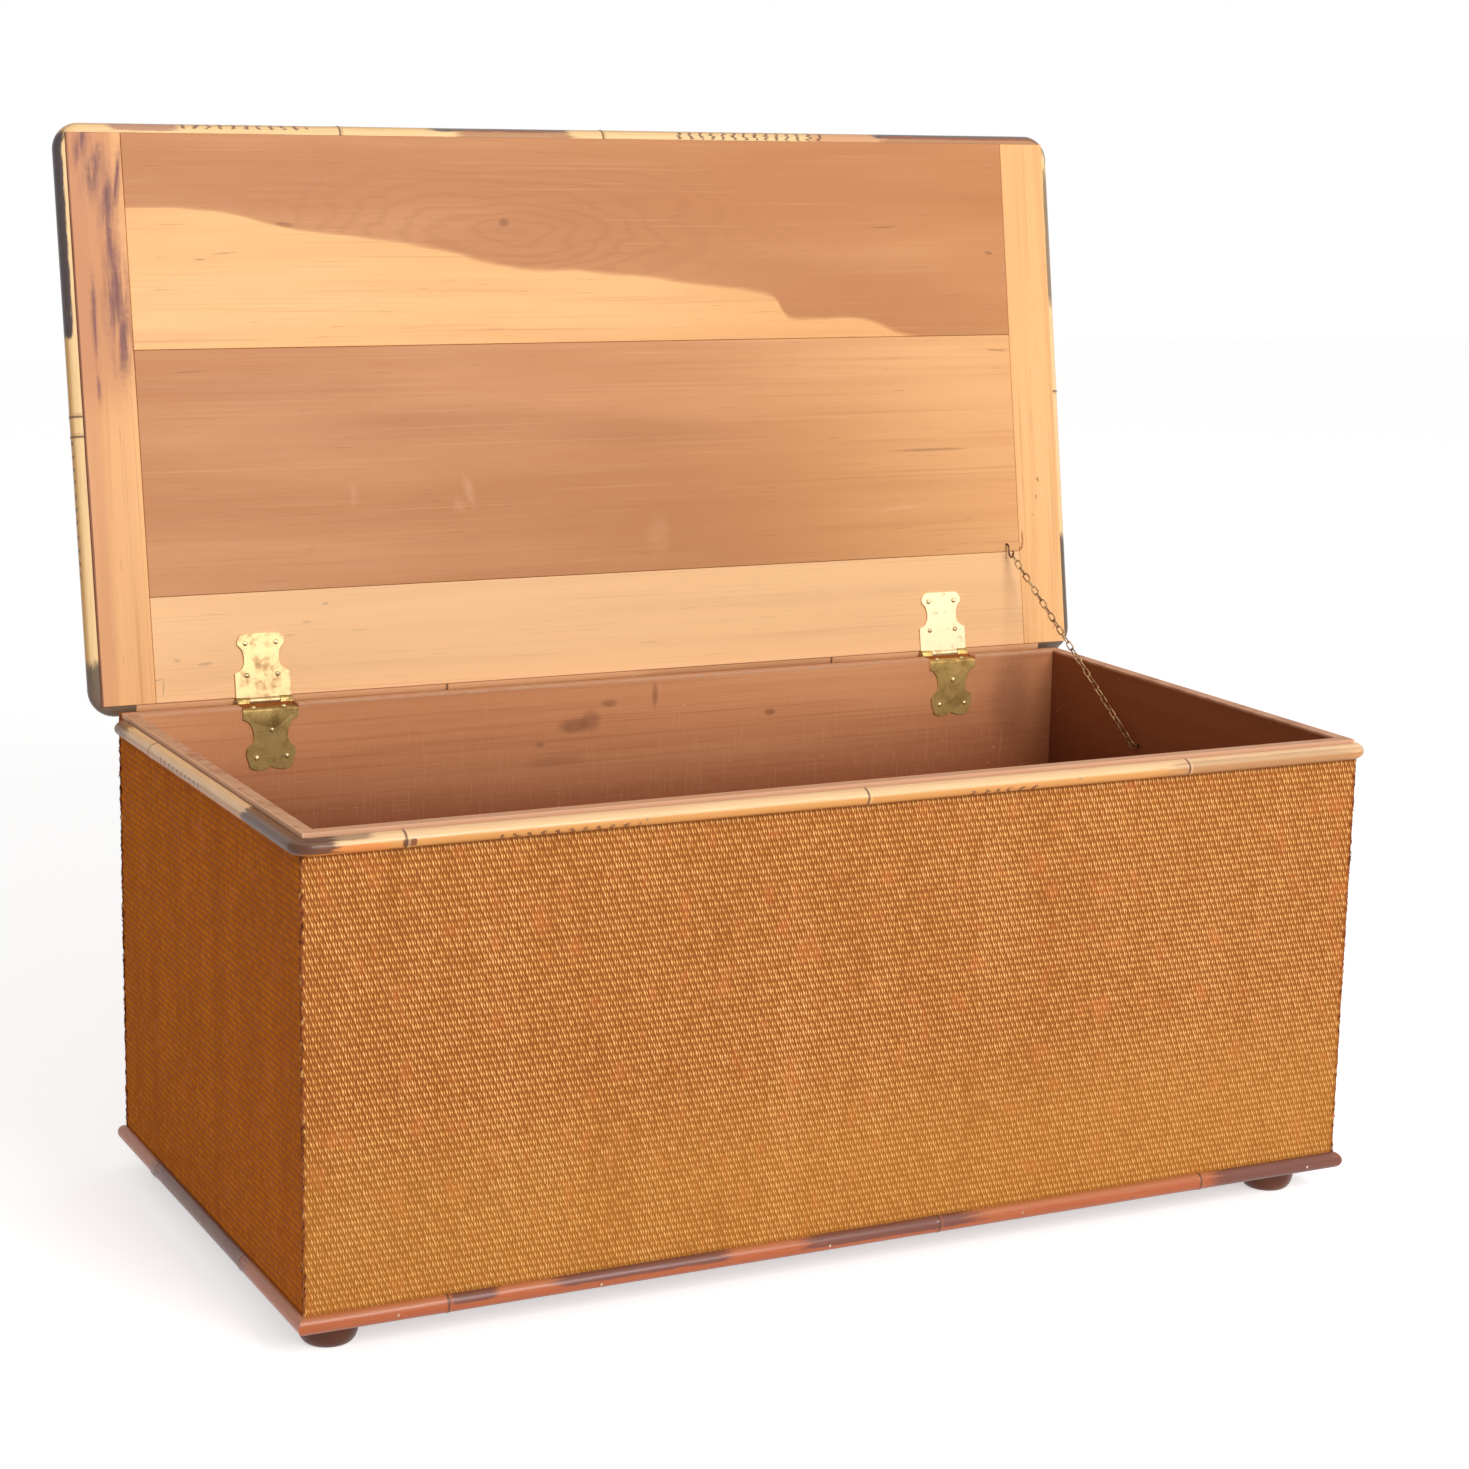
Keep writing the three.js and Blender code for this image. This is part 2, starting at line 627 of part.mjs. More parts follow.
function lidHook() {
  const point = (y, z) => new THREE.Vector3(0, y, z);
  const back_z = hook_bowl_z + hook_bowl_radius;
  const bend_start = point(hook_y, back_z + hook_bend_radius);
  const bend_end = point(hook_y + hook_bend_radius, back_z);
  const path = new THREE.CurvePath();
  path.add(new THREE.LineCurve3(point(hook_y, lid_underside + screw_length), bend_start));
  path.add(new THREE.QuadraticBezierCurve3(bend_start, point(hook_y, back_z), bend_end));
  path.add(new THREE.LineCurve3(bend_end, point(hook_bowl_y, back_z)));
  const bowl = [];
  for (let step = 0; step <= bend_steps; step += 1) {
    const angle = Math.PI * (0.5 - step / bend_steps);
    bowl.push(point(
      hook_bowl_y + hook_bowl_radius * Math.cos(angle),
      hook_bowl_z + hook_bowl_radius * Math.sin(angle)));
  }
  bowl.slice(1).forEach((place, index) => path.add(new THREE.LineCurve3(bowl[index], place)));
  const tip = bowl[bend_steps].clone().add(point(-hook_tip_length, 0));
  path.add(new THREE.LineCurve3(bowl[bend_steps], tip));
  const section = [];
  for (let side = 0; side < wire_sides; side += 1) {
    const angle = (2 * Math.PI * side) / wire_sides;
    section.push(new THREE.Vector2(hook_wire_radius * Math.cos(angle), hook_wire_radius * Math.sin(angle)));
  }
  const options = { extrudePath: path, steps: round_sides, bevelEnabled: false };
  return new THREE.ExtrudeGeometry(new THREE.Shape(section), options).translate(hook_x, 0, 0);
}

// Chain ends in the case's frame: where the upper run hangs in the hook's bowl, and where the
// lower run hangs on the far side of the screw eye's ring
const chain_start = new THREE.Vector3(hook_x, hook_bowl_y, hook_bowl_z)
  .applyAxisAngle(new THREE.Vector3(1, 0, 0), -open_angle)
  .add(new THREE.Vector3(0, axis_y, axis_z));
const end_board_face = half_width - wall_thickness;
const eye_x = end_board_face - eye_neck_length - eye_wire_radius - eye_ring_radius;
const chain_end = new THREE.Vector3(eye_x, half_depth - wall_thickness - eye_from_back, wall_top - eye_drop);
const chain_run = chain_end.clone().sub(chain_start);
const chain_along = chain_run.clone().normalize();
const eye_facing = new THREE.Vector3(0, -chain_run.y, -chain_run.z).normalize();
const eye_centre = chain_end.clone().addScaledVector(eye_facing, -eye_ring_radius);

function eyeHole() {
  const start = eye_centre.clone().setX(0);
  const end = eye_centre.clone().setX(end_board_face + screw_length + pilot_clearance);
  return rodBetween(start, end, eye_wire_radius + pilot_clearance, small_round_sides);
}

// Screw eye in the right-hand end board, its ring turned edge-on to the chain
function wallEye() {
  const across = new THREE.Vector3(1, 0, 0);
  const turn = new THREE.Matrix4().makeBasis(across, eye_facing, across.clone().cross(eye_facing));
  const ring = new THREE.TorusGeometry(eye_ring_radius, eye_wire_radius, wire_sides, round_sides)
    .applyMatrix4(turn)
    .translate(eye_centre.x, eye_centre.y, eye_centre.z);
  const shank_start = eye_centre.clone().setX(eye_x + eye_ring_radius);
  const shank_end = eye_centre.clone().setX(end_board_face + screw_length);
  const shank = rodBetween(shank_start, shank_end, eye_wire_radius, small_round_sides);
  return toGeometry(toSolid(ring).add(toSolid(shank)));
}

// The chain is held straight while the lid is open, so the links of each run are drawn tight
// and fused. The link count is even, so that the first lies across the hook and the last
// across the eye, and the pitch is what fills the length between them.
const hook_seat = hook_bowl_radius - hook_wire_radius - chain_hang_clearance - chain_wire_radius;
const eye_seat = eye_wire_radius + chain_hang_clearance + chain_wire_radius;
const chain_wire = 2 * chain_wire_radius;
const chain_span = chain_run.length() - hook_seat + eye_seat + 2 * chain_fuse - 3 * chain_wire - chain_split_gap;
const link_count = 2 * Math.round(chain_span / (2 * chain_link_pitch));
const link_pitch = chain_span / link_count;
const link_reach = (link_pitch - chain_fuse + chain_wire) / 2;
const upper_link_count = Math.round(link_count * chain_upper_share);

function linkGeometry(index) {
  const bend = chain_link_width / 2 - chain_wire_radius;
  const link = new THREE.TorusGeometry(bend, chain_wire_radius, wire_sides, 8).rotateZ(Math.PI / 8);
  const positions = link.attributes.position;
  for (let vertex = 0; vertex < positions.count; vertex += 1) {
    const x = positions.getX(vertex);
    positions.setX(vertex, x + Math.sign(x) * (link_reach - bend));
  }
  const upright = chain_along.clone().cross(new THREE.Vector3(1, 0, 0)).normalize();
  const flat = upright.clone().cross(chain_along);
  const side = index % 2 ? upright : flat;
  const turn = new THREE.Matrix4().makeBasis(chain_along, side, chain_along.clone().cross(side));
  const split = index < upper_link_count ? 0 : 2 * chain_wire + chain_split_gap - chain_fuse;
  const place = chain_start.clone()
    .addScaledVector(chain_along, hook_seat + link_reach + index * link_pitch + split);
  return link.applyMatrix4(turn).translate(place.x, place.y, place.z);
}

function chainRun(first, end) {
  let run = toSolid(linkGeometry(first));
  for (let index = first + 1; index < end; index += 1) {
    run = run.add(toSolid(linkGeometry(index)));
  }
  return toGeometry(run);
}

function addStay() {
  addPiece(lid_group, 'lid_hook', lidHook(), 'chain_steel');
  addPiece(case_group, 'wall_eye', wallEye(), 'chain_steel');
  addPiece(case_group, 'chain_upper', chainRun(0, upper_link_count), 'chain_steel');
  addPiece(case_group, 'chain_lower', chainRun(upper_link_count, link_count), 'chain_steel');
}

addCaseBoards();
addCaseMatting();
addTopCane();
addBottomCane();
addFeet();
addLidBoards();
addLidMatting();
addLidCane();
addHinges();
addStay();

// The open chest stands with its floor middle at the origin
const chest = new THREE.Group();
chest.name = 'blanket_chest';
chest.add(case_group, lid_group);
chest.updateMatrixWorld(true);
const reach = new THREE.Box3().setFromObject(chest, true);
chest.position.y = -(reach.min.y + reach.max.y) / 2;
chest.updateMatrixWorld(true);

export default chest;
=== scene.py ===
import json
import math
from functools import reduce

import bmesh
import bpy
from mathutils import Matrix, Vector


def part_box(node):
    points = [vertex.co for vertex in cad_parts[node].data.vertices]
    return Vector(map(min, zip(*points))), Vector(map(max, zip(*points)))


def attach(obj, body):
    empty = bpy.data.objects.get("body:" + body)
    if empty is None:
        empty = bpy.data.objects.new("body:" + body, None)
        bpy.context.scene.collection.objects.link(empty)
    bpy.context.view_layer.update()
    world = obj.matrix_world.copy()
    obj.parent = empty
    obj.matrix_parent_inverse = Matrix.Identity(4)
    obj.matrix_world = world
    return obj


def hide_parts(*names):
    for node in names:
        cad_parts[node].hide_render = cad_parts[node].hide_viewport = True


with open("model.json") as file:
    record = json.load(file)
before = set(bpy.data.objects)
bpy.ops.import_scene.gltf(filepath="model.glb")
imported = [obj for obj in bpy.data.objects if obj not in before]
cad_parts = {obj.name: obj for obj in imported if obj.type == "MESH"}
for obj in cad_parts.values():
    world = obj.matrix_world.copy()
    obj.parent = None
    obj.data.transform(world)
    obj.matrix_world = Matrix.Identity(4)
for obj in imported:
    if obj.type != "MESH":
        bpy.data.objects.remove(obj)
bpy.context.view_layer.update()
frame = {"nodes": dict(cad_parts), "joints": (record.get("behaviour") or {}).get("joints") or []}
nodes = frame["nodes"]

# Case boards. Softwood boards 13 mm thick, glued and nailed into a box round a loose-grained bottom
# board. They wear a thin reddish brown stain, rubbed back to pale wood along the top edge.

wall_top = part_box("back_board")[1].z
front_face, right_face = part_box("front_board")[0].y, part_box("front_board")[1].x
board_ease = 0.0007
# The end colour is paler than worn_edge: bare wood with painted light laid on it, for the end faces that stand in
# shade.
worn_edge, worn_end_painted_light = (206, 156, 122), (228, 178, 140)


class Varying:
    """A value that changes from place to place, added to and multiplied like a number"""

    def __init__(self, socket):
        self.socket, self.tree = socket, socket.id_data

    def __add__(self, other):
        return calc("ADD", self, other)

    def __sub__(self, other):
        return calc("SUBTRACT", self, other)

    def __mul__(self, other):
        return calc("MULTIPLY", self, other)

    def __truediv__(self, other):
        return calc("DIVIDE", self, other)


def tree_of(*values):
    return next(value.tree for value in values if isinstance(value, Varying))


def paint(colour):
    """A colour as the eye reads it on a screen, made linear, unless it is one that varies"""
    if isinstance(colour, Varying):
        return colour
    steps = [value / 255 for value in colour]
    return (*[s / 12.92 if s < 0.04045 else ((s + 0.055) / 1.055) ** 2.4 for s in steps], 1)


def join(node, sockets):
    """Each named socket linked to a varying value, or set to a plain one"""
    for name, value in sockets.items():
        if isinstance(value, Varying):
            value.tree.links.new(value.socket, node.inputs[name])
        else:
            node.inputs[name].default_value = value


def put(tree, kind, sockets=None, out=0, **settings):
    """What a new node puts out, with its settings made and its sockets joined"""
    made = tree.nodes.new(kind)
    for name, value in settings.items():
        setattr(made, name, value)
    join(made, sockets or {})
    return Varying(made.outputs[out])


def calc(operation, first, second=0.0):
    return put(tree_of(first, second), "ShaderNodeMath", {0: first, 1: second}, operation=operation)


def vector_calc(operation, first, second=(0, 0, 0), out="Vector"):
    return put(first.tree, "ShaderNodeVectorMath", {0: first, 1: second}, out, operation=operation)


def vector_of(x=0.0, y=0.0, z=0.0):
    return put(tree_of(x, y, z), "ShaderNodeCombineXYZ", {0: x, 1: y, 2: z})


def part(vector, axis):
    return put(vector.tree, "ShaderNodeSeparateXYZ", {0: vector}, axis)


def attribute(tree, name):
    return put(tree, "ShaderNodeAttribute", out="Fac", attribute_name=name)


def span(value, low, high, to_low=0.0, to_high=1.0, kind="SMOOTHSTEP"):
    sockets = {"Value": value, "From Min": low, "From Max": high, "To Min": to_low, "To Max": to_high}
    return put(tree_of(value), "ShaderNodeMapRange", sockets, interpolation_type=kind)


def mixed(share, first, second):
    sockets = {0: share, 6: paint(first), 7: paint(second)}
    return put(tree_of(share, first, second), "ShaderNodeMix", sockets, 2, data_type="RGBA")


def layered(colour, *layers):
    """A colour with tints laid over it one by one, each by its share"""
    for share, tint in layers:
        colour = mixed(share, colour, tint)
    return colour


def turned(coords, turn=(0, 0, 0), shift=(0, 0, 0), scale=(1, 1, 1)):
    sockets = {"Vector": coords, "Location": shift, "Rotation": turn, "Scale": scale}
    return put(coords.tree, "ShaderNodeMapping", sockets)


def own_coords(tree):
    return put(tree, "ShaderNodeTexCoord", out="Object")


def noise(coords, scale, detail=2.0, rough=0.5):
    sockets = {"Vector": coords, "Scale": scale, "Detail": detail, "Roughness": rough}
    return put(coords.tree, "ShaderNodeTexNoise", sockets)


def drawn_out(coords, scale, detail=2.0, rough=0.5, **place):
    """Noise with its own scale along each axis"""
    return noise(turned(coords, scale=scale, **place), 1.0, detail, rough)


def new_tree(kind, name, floats, results, **others):
    """An empty tree of nodes with its named sockets, what it is given, and its last node"""
    tree = bpy.data.node_groups.new(name, kind + "NodeTree")
    inputs = {**others, **dict.fromkeys(floats, "Float")}
    for way, sockets in (("INPUT", inputs), ("OUTPUT", results)):
        for label, socket in sockets.items():
            tree.interface.new_socket(label, in_out=way, socket_type="NodeSocket" + socket)
    given = tree.nodes.new("NodeGroupInput").outputs
    return tree, {label: Varying(given[label]) for label in inputs}, tree.nodes.new("NodeGroupOutput")


def use_group(tree, group, sockets):
    made = tree.nodes.new("ShaderNodeGroup")
    made.node_tree = group
    join(made, sockets)
    return {socket.name: Varying(socket) for socket in made.outputs}


def new_material(name):
    made = bpy.data.materials.new(name)
    made.use_nodes = True
    return made, made.node_tree


def finish(tree, colour, rough, bump=None, metal=None, specular=None, coat=(None, None)):
    """The Principled shader joined up. Bump is a height with its distance and strength"""
    sockets = {"Base Color": colour, "Roughness": rough, "Metallic": metal, "Specular IOR Level": specular,
               "Coat Weight": coat[0], "Coat Roughness": coat[1]}
    if bump:
        sockets["Normal"] = put(tree, "ShaderNodeBump", dict(zip(("Height", "Distance", "Strength"), bump)))
    join(tree.nodes["Principled BSDF"], {name: value for name, value in sockets.items() if value is not None})


# Board grain reads coordinates whose X runs along the board
board_grain, given, last = new_tree(
    "Shader", "board_grain", ("Rings per metre", "Waviness", "Shift"),
    dict.fromkeys(("Rings", "Fibres", "Flecks", "Hairs", "Drift"), "Float"), Vector="Vector")
place = vector_calc("ADD", given["Vector"], vector_of(given["Shift"] * 3.7))
wander = (drawn_out(place, (1.1, 4.5, 4.5)) - 0.5) * given["Waviness"]
across = part(place, "Y") + wander * 2.5
wave = span(calc("SINE", across * given["Rings per metre"] * math.tau), 0.0, 1.0)
join(last, {
    "Rings": wave * span(drawn_out(place, (3, 40, 40)), 0.3, 0.7, 0.2),
    "Fibres": drawn_out(place, (9, 900, 900), 3.0),
    "Flecks": span(drawn_out(place, (24, 420, 420), 1.0), 0.69, 0.78),
    "Hairs": drawn_out(place, (3.2, 330, 330), 3.0, 0.65),
    "Drift": drawn_out(place, (1.3, 9, 9), 3.0)})


def grained(coords, rings, waviness, shift=0.0):
    return use_group(coords.tree, board_grain, {
        "Vector": coords, "Rings per metre": rings, "Waviness": waviness, "Shift": shift})


# A soft spot is 1 inside an ellipse in X and Y and fades out at its ragged edge
soft_spot, given, last = new_tree("Shader", "soft_spot", ("Turn", "Blur", "Ragged"), {"Mask": "Float"},
                                  Vector="Vector", Centre="Vector", Radii="Vector")
offset = vector_calc("SUBTRACT", given["Vector"], given["Centre"])
turning = put(soft_spot, "ShaderNodeVectorRotate", {"Vector": offset, "Angle": given["Turn"]},
              rotation_type="Z_AXIS")
sized = vector_calc("DIVIDE", vector_calc("MULTIPLY", turning, (1, 1, 0)), given["Radii"])
rag = (noise(given["Vector"], 180.0, 3.0) - 0.5) * given["Ragged"]
edge = vector_calc("LENGTH", sized, out="Value") + rag * 2.0
join(last, {"Mask": span(edge, given["Blur"] + 1.0, calc("SUBTRACT", 1.0, given["Blur"]))})


def spot(coords, x, y, wide, tall, lean=0.0, blur=0.5, ragged=0.3):
    """A soft spot with its place and half sizes in millimetres and its lean in degrees"""
    return use_group(coords.tree, soft_spot, {
        "Vector": coords, "Centre": (x / 1000, y / 1000, 0), "Radii": (wide / 1000, tall / 1000, 1),
        "Turn": math.radians(lean), "Blur": blur, "Ragged": ragged})["Mask"]


# Spots where the stain has soaked in, on the back wall: X, height, half width, half height, strength
inside_marks = [
    (-97.6, 395.5, 5, 2.5, 0.35), (-60, 412.5, 15, 7, 0.45), (-42, 416.5, 10, 10, 0.35),
    (-21, 433.5, 8, 3.5, 0.4), (31, 438.5, 3, 12, 0.4), (165.6, 411.5, 6, 3, 0.5),
    (462, 406.5, 22, 44, 0.35), (-80, 376.5, 30, 5, 0.2)]
lying = -math.pi / 2


def stained_material(name, turn, shift, base, warm, dark, brushed):
    """Board under a brushed brown stain, darker towards the bottom and the right end as painted shade; its grain runs
    along X after the turn
    """
    made, tree = new_material(name)
    here = own_coords(tree)
    grain = grained(turned(here, turn), 42.0, 0.03, shift)
    side, depth, height = (part(here, axis) for axis in "XYZ")
    # The dark tint lays painted shade, heavy towards the bottom of the box and lighter towards its right end; the same
    # tint also darkens the grain hairs and rings.
    colour = layered(
        mixed(span(grain["Drift"], 0.3, 0.72), base, warm), (span(height, 0.44, 0.31, 0.0, 0.92), dark),
        (span(side, 0.3, 0.52, 0.0, 0.4), dark), (span(grain["Hairs"], 0.5, 0.75, 0.0, 0.3), dark),
        (grain["Rings"] * 0.1, dark))
    for scale in ((900, 900, 30), (30, 30, 900)):
        colour = mixed(span(drawn_out(here, scale), 0.54, 0.76, 0.0, 0.13), colour, brushed)
    pale = span(drawn_out(here, (230, 230, 330), 1.0), 0.77, 0.83, 0.0, 0.6)
    colour = mixed(pale, colour, (226, 172, 130))
    upright = turned(here, (lying, 0, 0))
    for *mark, deep in inside_marks:
        colour = mixed(spot(upright, *mark) * deep, colour, (96, 50, 36))
    rubbed = span(height, wall_top - 0.0035, wall_top - 0.0008) * span(noise(here, 60.0, 3.0), 0.25, 0.6, 0.45)
    at_front = span(depth, front_face + 0.0016, front_face + 0.0008)
    at_ends = span(calc("ABSOLUTE", side), right_face - 0.0016, right_face - 0.0008)
    # The bare strip of the end boards above the cane takes the paler end colour, painted light on the shaded end
    # faces.
    below_rim = span(height, wall_top - 0.008, wall_top - 0.007)
    colour = layered(colour, (rubbed, worn_edge), (at_front * below_rim, worn_edge),
                     (at_ends * below_rim, worn_end_painted_light))
    finish(tree, colour, span(grain["Fibres"], 0.3, 0.7, 0.55, 0.7), (grain["Fibres"], 0.0003, 0.35),
           specular=0.25)
    return made


def linked(name, data):
    """A new object in the scene"""
    made = bpy.data.objects.new(name, data)
    bpy.context.scene.collection.objects.link(made)
    return made


def filled(mesh, shell):
    """The mesh, which may be just the name of a new one, with what the shell holds"""
    if isinstance(mesh, str):
        mesh = bpy.data.meshes.new(mesh)
    shell.to_mesh(mesh)
    shell.free()
    return mesh


def smoothed(mesh, sharp):
    """The mesh shaded smooth but for edges sharper than that many degrees"""
    mesh.shade_smooth()
    mesh.set_sharp_from_angle(angle=math.radians(sharp))
    return mesh


def shown(name, mesh, body, slot, material, *stood_for):
    """A finished mesh as a piece at the origin that rides on its body"""
    made = linked(name, mesh)
    mesh.materials.clear()
    mesh.materials.append(material)
    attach(made, body)
    if stood_for:
        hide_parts(*stood_for)


def eased(node, ease, body, slot, material, shortest=8.0):
    """The piece of that name with its sharp edges eased by hand"""
    mesh = nodes[node].data.copy()
    shell = bmesh.new()
    shell.from_mesh(mesh)
    bmesh.ops.remove_doubles(shell, verts=shell.verts, dist=1e-6)
    bmesh.ops.dissolve_limit(shell, angle_limit=math.radians(0.5), verts=shell.verts, edges=shell.edges)
    sharp = [e for e in shell.edges if e.is_manifold and e.calc_face_angle() > math.radians(35)
             and e.calc_length() > shortest * ease]
    bmesh.ops.bevel(shell, geom=sharp, offset=ease, segments=2, profile=0.5, affect="EDGES",
                    clamp_overlap=False)
    shown(node + "_eased", smoothed(filled(mesh, shell), 20), body, slot, material, node)


long_stain = stained_material("stained_long_boards", (lying, 0, 0), 1.0,
                              (205, 136, 90), (226, 159, 109), (128, 62, 30), (232, 174, 128))
# The end boards carry the same stain in deeper tints, as painted shade on the shaded end walls.
shaded_end_stain = stained_material("stained_end_boards", (lying, lying, 0), 5.0,
                             (140, 76, 42), (164, 94, 56), (112, 56, 28), (178, 112, 74))
for node, stain in (("front", long_stain), ("back", long_stain), ("bottom", long_stain),
                    ("left_end", shaded_end_stain), ("right_end", shaded_end_stain)):
    eased(node + "_board", board_ease, "case", "stained_board", stain)

# Case matting. Dyed grass twisted and woven upright in close rows over a string warp, glued to the
# outside of the boards. The long panels lap the short ones at the corners, where the cut ends fray.

strand_pitch = 0.00513
strand_row = 0.00609
strand_rise = 0.0011
strand_slant = 0.27
backing_drop = 0.0009
grass_front = ((142, 76, 22), (214, 146, 66), (252, 200, 126))
# The side panels' tints are darker and redder than the front's: painted shade for the shaded side faces, over the same
# dyed grass.
grass_side_painted_shade = ((138, 62, 0), (184, 98, 0), (214, 124, 2))


def strand_pattern():
    """A plump and a slim grass stem where they come over the warp, each raised in the middle"""
    low = -0.0003
    points, faces, heights = [], [], []
    for x, y, half_wide, half_long, height in ((-0.21, 0.06, 0.25, 0.86, 1.0), (0.21, -0.06, 0.19, 0.8, 0.62)):
        start = len(points)
        points += [((x + half_wide * right) * strand_pitch, (y + half_long * up) * strand_row, low)
                   for right, up in ((0, -1), (1, 0), (0, 1), (-1, 0))]
        points.append((x * strand_pitch, y * strand_row, height * strand_rise))
        heights += [0.0, 0.0, 0.0, 0.0, height]
        faces += [(start + a, start + (a + 1) % 4, start + 4) for a in range(4)]
        faces.append((start + 3, start + 2, start + 1, start))
    mesh = bpy.data.meshes.new("grass_blade")
    mesh.from_pydata(points, [], faces)
    shell = bmesh.new()
    shell.from_mesh(mesh)
    bmesh.ops.recalc_face_normals(shell, faces=shell.faces)
    filled(mesh, shell).attributes.new("raised", "FLOAT", "POINT").data.foreach_set("value", heights)
    return linked("grass_blade", mesh)


def new_growth(name, *floats, **others):
    """An empty geometry tree that starts from a base object and is given its material"""
    return new_tree("Geometry", name, floats, {"Geometry": "Geometry"}, Geometry="Geometry",
                    Material="Material", **others)


def spread(low, high, seed):
    """A random number for each point or instance"""
    return put(seed.tree, "FunctionNodeRandomValue", {2: low, 3: high, "Seed": seed}, 1)


def stored(geometry, name, value, domain="POINT"):
    return put(geometry.tree, "GeometryNodeStoreNamedAttribute",
               {"Geometry": geometry, "Name": name, "Value": value}, data_type="FLOAT", domain=domain)


def moved(geometry, offset):
    return put(geometry.tree, "GeometryNodeSetPosition", {"Geometry": geometry, "Offset": offset})


def sown(points, form, turn, size=(1, 1, 1)):
    """A copy of the form at each point"""
    shape = put(points.tree, "GeometryNodeObjectInfo", {"Object": form}, "Geometry")
    return put(points.tree, "GeometryNodeInstanceOnPoints", {
        "Points": points, "Instance": shape, "Rotation": turn, "Scale": size})


def real(geometry):
    return put(geometry.tree, "GeometryNodeRealizeInstances", {"Geometry": geometry})


def in_material(geometry, given, last):
    """The tree's result, in the material that it is given"""
    join(last, {"Geometry": put(geometry.tree, "GeometryNodeSetMaterial", {
        "Geometry": geometry, "Material": given["Material"]})})


def evaluated(base):
    """The mesh that an object comes to with its modifiers, and the object done with"""
    mesh = bpy.data.meshes.new_from_object(base.evaluated_get(bpy.context.evaluated_depsgraph_get()))
    bpy.data.objects.remove(base)
    return mesh


def grown(tree, base, values, place=None):
    """The mesh that a tree grows on a base object"""
    modifier = base.modifiers.new("grown", "NODES")
    modifier.node_group = tree
    for item in tree.interface.items_tree:
        if item.in_out == "INPUT" and item.name in values:
            modifier[item.identifier] = values[item.name]
    mesh = evaluated(base)
    if place:
        mesh.transform(place)
    return mesh


weave, given, last = new_growth("woven_rows", "Across", "Up", "Pitch", "Row", "Slant",
                                Blade="Object", Seed="Int")
seed = given["Seed"]
rows = calc("FLOOR", given["Up"] / given["Row"])
tall = given["Up"] - given["Row"] * 1.8
grid = put(weave, "GeometryNodeMeshGrid", {
    "Size X": given["Across"] - given["Pitch"] * 1.75, "Size Y": tall,
    "Vertices X": calc("FLOOR", given["Across"] / given["Pitch"]), "Vertices Y": rows})
spots = part(put(weave, "GeometryNodeInputPosition"), "Y")
level = calc("ROUND", (spots + tall * 0.5) / (tall / (rows - 1.0)))
odd = calc("MODULO", level, 2.0) - 0.5
aside = given["Pitch"] * (odd * 0.5 + spread(-0.07, 0.07, seed))
nudge = given["Row"] * spread(-0.05, 0.05, seed + 1.0)
lean = vector_of(z=given["Slant"] + spread(-0.05, 0.05, seed + 2.0))
size = vector_of(spread(0.88, 1.04, seed + 3.0), spread(0.94, 1.08, seed + 4.0), spread(0.7, 1.0, seed + 5.0))
blades = sown(moved(grid, vector_of(aside, nudge)), given["Blade"], lean, size)
blades = real(stored(blades, "tone", spread(0.52, 0.82, seed + 6.0), "INSTANCE"))
both = put(weave, "GeometryNodeJoinGeometry", {"Geometry": blades})
join(both.socket.node, {0: given["Geometry"]})
in_material(both, given, last)


def grass_material(name, turn, shift, tints, redness, contrast, gilt=0.0):
    """Dyed grass: each pair of stems has its own tone, in upright bands where bundles changed, with painted highlight
    along each raised stem and painted shade where it dips
    """
    made, tree = new_material(name)
    deep, middle, light = tints
    coords = turned(own_coords(tree), turn, shift)
    bands, patch = drawn_out(coords, (30, 1.6, 30), 3.0), drawn_out(coords, (14, 8, 14), 3.0)
    drifting = bands + patch * 0.6 - 0.8
    # Each stem is lighter along its raised middle and darker towards its edges and ends, a painted highlight and
    # painted shade on the weave; the backing stores no height or tone, so it comes out darkest, as painted shade in
    # the gaps.
    stems = span(attribute(tree, "raised"), 0.0, 0.7, -1.0, 1.0)
    level = attribute(tree, "tone") + (drifting * 0.5 + stems * contrast)
    tuft = drawn_out(coords, (46, 34, 46), shift=(3, 1, 2))
    colour = layered(
        mixed(span(level, 0.0, 0.62), deep, middle), (span(level, 0.58, 1.1), light),
        (span(tuft, 0.55, 0.75, 0.0, redness), (206, 112, 56)),
        (span(part(coords, "Y"), 0.24, 0.1, 0.0, gilt), (202, 146, 58)))
    finish(tree, colour, 0.62, (drawn_out(coords, (900, 60, 900)), 0.0003, 0.5), specular=0.2)
    return made


def block(name, size, middle):
    """A plain block, as a start or a cutter"""
    shell = bmesh.new()
    bmesh.ops.create_cube(shell, size=1.0)
    bmesh.ops.scale(shell, vec=size, verts=shell.verts)
    bmesh.ops.translate(shell, vec=middle, verts=shell.verts)
    return linked(name, filled(name, shell))


def woven(across, up, thick, place, seed, material):
    """A panel of matting in its place, given as a matrix from panel to chest"""
    flat_weave = block("matting_backing", (across, up, thick), (0, 0, -thick / 2))
    return grown(weave, flat_weave, {
        "Blade": grass_blade, "Across": across, "Up": up, "Pitch": strand_pitch, "Row": strand_row,
        "Slant": strand_slant, "Seed": seed, "Material": material}, place)


def wall_place(middle, out):
    """From a panel lying flat to one standing on the floor, facing out"""
    up, out = Vector((0, 0, 1)), Vector(out)
    return Matrix.Translation(middle) @ Matrix((up.cross(out), up, out)).transposed().to_4x4()


grass_blade = strand_pattern()
case_grass = grass_material("dyed_grass_case", (lying, 0, 0), (0, 0, 0), grass_front, 0.3, 0.44, 0.22)
